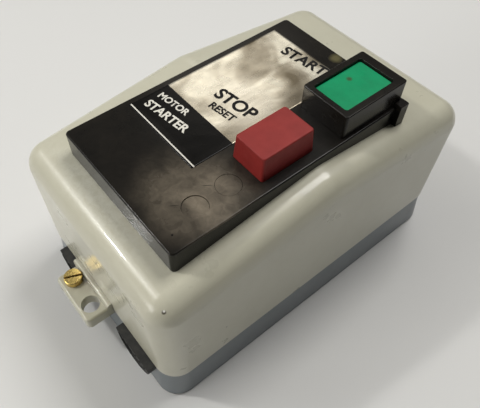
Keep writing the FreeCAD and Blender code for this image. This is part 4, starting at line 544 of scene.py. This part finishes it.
slots = {piece["node"]: piece["material_slot"] for piece in frame["record"]["subparts"]}
for name, piece in nodes.items():
    piece.data.materials.clear()
    piece.data.materials.append(FINISHES[slots[name]])

# ---------------------------------------------------------------- refined copies of the outer pieces


SMOOTH_LIMIT = math.radians(32)


def refined(name, edge_mm=0.0, turn_deg=0.0):
    """A copy of a CAD node with its faces joined up, smooth normals and, if asked, softened edges.

    A round piece can be turned about its own upright axis.
    """
    source = nodes[name]
    piece = source.copy()
    piece.data = source.data.copy()
    piece.parent = None
    piece.name = name + "_finished"
    for key in list(piece.keys()):
        del piece[key]
    bpy.context.scene.collection.objects.link(piece)
    mesh = bmesh.new()
    mesh.from_mesh(piece.data)
    bmesh.ops.remove_doubles(mesh, verts=mesh.verts, dist=0.002 * MM)
    bmesh.ops.dissolve_limit(mesh, angle_limit=math.radians(0.4), verts=mesh.verts, edges=mesh.edges)
    if turn_deg:
        low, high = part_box(name)
        turn = Matrix.Rotation(math.radians(turn_deg), 3, "Z")
        bmesh.ops.rotate(mesh, verts=mesh.verts, cent=(low + high) / 2, matrix=turn)
    for face in mesh.faces:
        face.smooth = True
    for edge in mesh.edges:
        edge.smooth = len(edge.link_faces) == 2 and edge.calc_face_angle(0) < SMOOTH_LIMIT
    mesh.to_mesh(piece.data)
    mesh.free()
    if edge_mm:
        bevel = piece.modifiers.new("edges", "BEVEL")
        bevel.width = edge_mm * MM
        bevel.segments = 2
        bevel.limit_method = "ANGLE"
        bevel.angle_limit = math.radians(40)
        bevel.harden_normals = True
        bevel.use_clamp_overlap = True
    weighted = piece.modifiers.new("normals", "WEIGHTED_NORMAL")
    weighted.mode = "FACE_AREA"
    weighted.weight = 90
    weighted.keep_sharp = True
    body = source["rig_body"]
    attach(piece, body)
    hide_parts(name)
    return piece


OUTER_PIECES = {
    "cover_shell": 0.0,
    "base_tray": 0.0,
    "fascia": 0.0,
    "start_shroud": 0.12,
    "start_button": 0.0,
    "stop_button": 0.0,
    "cable_entry_plugs": 0.1,
    "fascia_catch": 0.25,
}
for name, edge in OUTER_PIECES.items():
    refined(name, edge)
refined("cover_screw", 0.1, turn_deg=28.0)


def compressing(name):
    """A spring given a finished copy of its CAD node, with a mesh of its own."""
    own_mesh(refined(name))


compressing("start_spring")
compressing("start_switch_spring")
compressing("stop_spring")
compressing("reset_spring")
compressing("contactor_return_springs")

# ---------------------------------------------------------------- foil label


def foil_label(cell_mm=0.7, depth_mm=0.2):
    """The stuck-on foil: a closed thin sheet whose top is slack in long shallow folds."""
    low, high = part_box("label_plate")
    across = round((high.x - low.x) / (cell_mm * MM))
    along = round((high.y - low.y) / (cell_mm * MM))
    mesh = bmesh.new()
    rows = []
    for j in range(along + 1):
        row = []
        for i in range(across + 1):
            x = low.x + (high.x - low.x) * i / across
            y = low.y + (high.y - low.y) * j / along
            edge = min(i, across - i, j, along - j) / 5
            slack = fold_depth(x / MM, y / MM) * min(1.0, edge)
            row.append(mesh.verts.new((x, y, high.z - depth_mm * MM * slack)))
        rows.append(row)
    for j in range(along):
        for i in range(across):
            mesh.faces.new((rows[j][i], rows[j][i + 1], rows[j + 1][i + 1], rows[j + 1][i]))
    rim = [e for e in mesh.edges if e.is_boundary]
    skirt = bmesh.ops.extrude_edge_only(mesh, edges=rim)["geom"]
    foot = [v for v in skirt if isinstance(v, bmesh.types.BMVert)]
    for v in foot:
        v.co.z = low.z
    bmesh.ops.holes_fill(mesh, edges=[e for e in mesh.edges if e.is_boundary], sides=0)
    bmesh.ops.recalc_face_normals(mesh, faces=mesh.faces)
    for face in mesh.faces:
        face.smooth = abs(face.normal.z) > 0.5 and len(face.verts) == 4
    data = bpy.data.meshes.new("label_foil")
    mesh.to_mesh(data)
    mesh.free()
    data.materials.append(FINISHES["silver_label"])
    piece = bpy.data.objects.new("label_foil", data)
    bpy.context.scene.collection.objects.link(piece)
    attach(piece, "cover")
    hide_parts("label_plate")
    return piece


def fold_depth(x, y):
    """How far the foil lies below its highest level, 0 to 1, at a place in millimetres."""
    broad = noise.noise(Vector((x / 17 + 0.35 * y / 17, y / 24, 2.7)))
    sharp = 1 - abs(noise.noise(Vector((x / 9 - 0.3 * y / 9, y / 15, 8.1)))) * 2.2
    return min(1.0, max(0.0, 0.45 + 0.42 * broad - 0.16 * sharp))


foil_label()

# ---------------------------------------------------------------- lettering

LABEL_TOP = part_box("label_plate")[1].z


def ink(name, colour):
    kit = Kit(name)
    worn = kit.ramp(kit.noise(0.9, 4, 0.7), (0.35, 0.0), (0.75, 0.35))
    kit.set(Base_Color=kit.mix(worn, colour, tuple(0.7 * c + 0.03 for c in colour)), Roughness=0.5,
            Specular_IOR_Level=0.15)
    kit.bump(kit.noise(1.3, 3, 0.6), 0.01)
    return kit.material


BLACK_INK = ink("black_ink", (0.006, 0.0055, 0.005))
WHITE_INK = ink("white_ink", (0.80, 0.78, 0.70))
LETTER_TILT = math.radians(7.5)


def lettering(name, words, left_mm, foot_mm, length_mm, material):
    """Plain capitals printed on the label, as long as asked, turned a little as the print is."""
    curve = bpy.data.curves.new(name, "FONT")
    curve.body = words
    curve.size = 1.0
    curve.offset = 0.028
    text = bpy.data.objects.new(name + "_curve", curve)
    bpy.context.scene.collection.objects.link(text)
    bpy.context.view_layer.update()
    mesh = bpy.data.meshes.new_from_object(text)
    bpy.data.objects.remove(text)
    across = [v.co.x for v in mesh.vertices]
    scale = length_mm * MM / (max(across) - min(across))
    start = min(across)
    cos, sin = math.cos(LETTER_TILT), math.sin(LETTER_TILT)
    for v in mesh.vertices:
        x, y = (v.co.x - start) * scale, v.co.y * scale
        v.co = (left_mm * MM + x * cos - y * sin, foot_mm * MM + x * sin + y * cos, LABEL_TOP + 0.03 * MM)
    mesh.materials.clear()
    mesh.materials.append(material)
    piece = bpy.data.objects.new(name, mesh)
    bpy.context.scene.collection.objects.link(piece)
    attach(piece, "cover")
    return piece


lettering("word_stop", "STOP", -13.4, -9.0, 21.0, BLACK_INK)
lettering("word_reset", "RESET", -9.5, -14.7, 13.3, BLACK_INK)
lettering("word_start", "START", -16.8, 32.0, 23.6, BLACK_INK)
lettering("word_motor", "MOTOR", -27.5, -27.6, 17.0, WHITE_INK)
lettering("word_starter", "STARTER", -27.0, -34.8, 24.0, WHITE_INK)
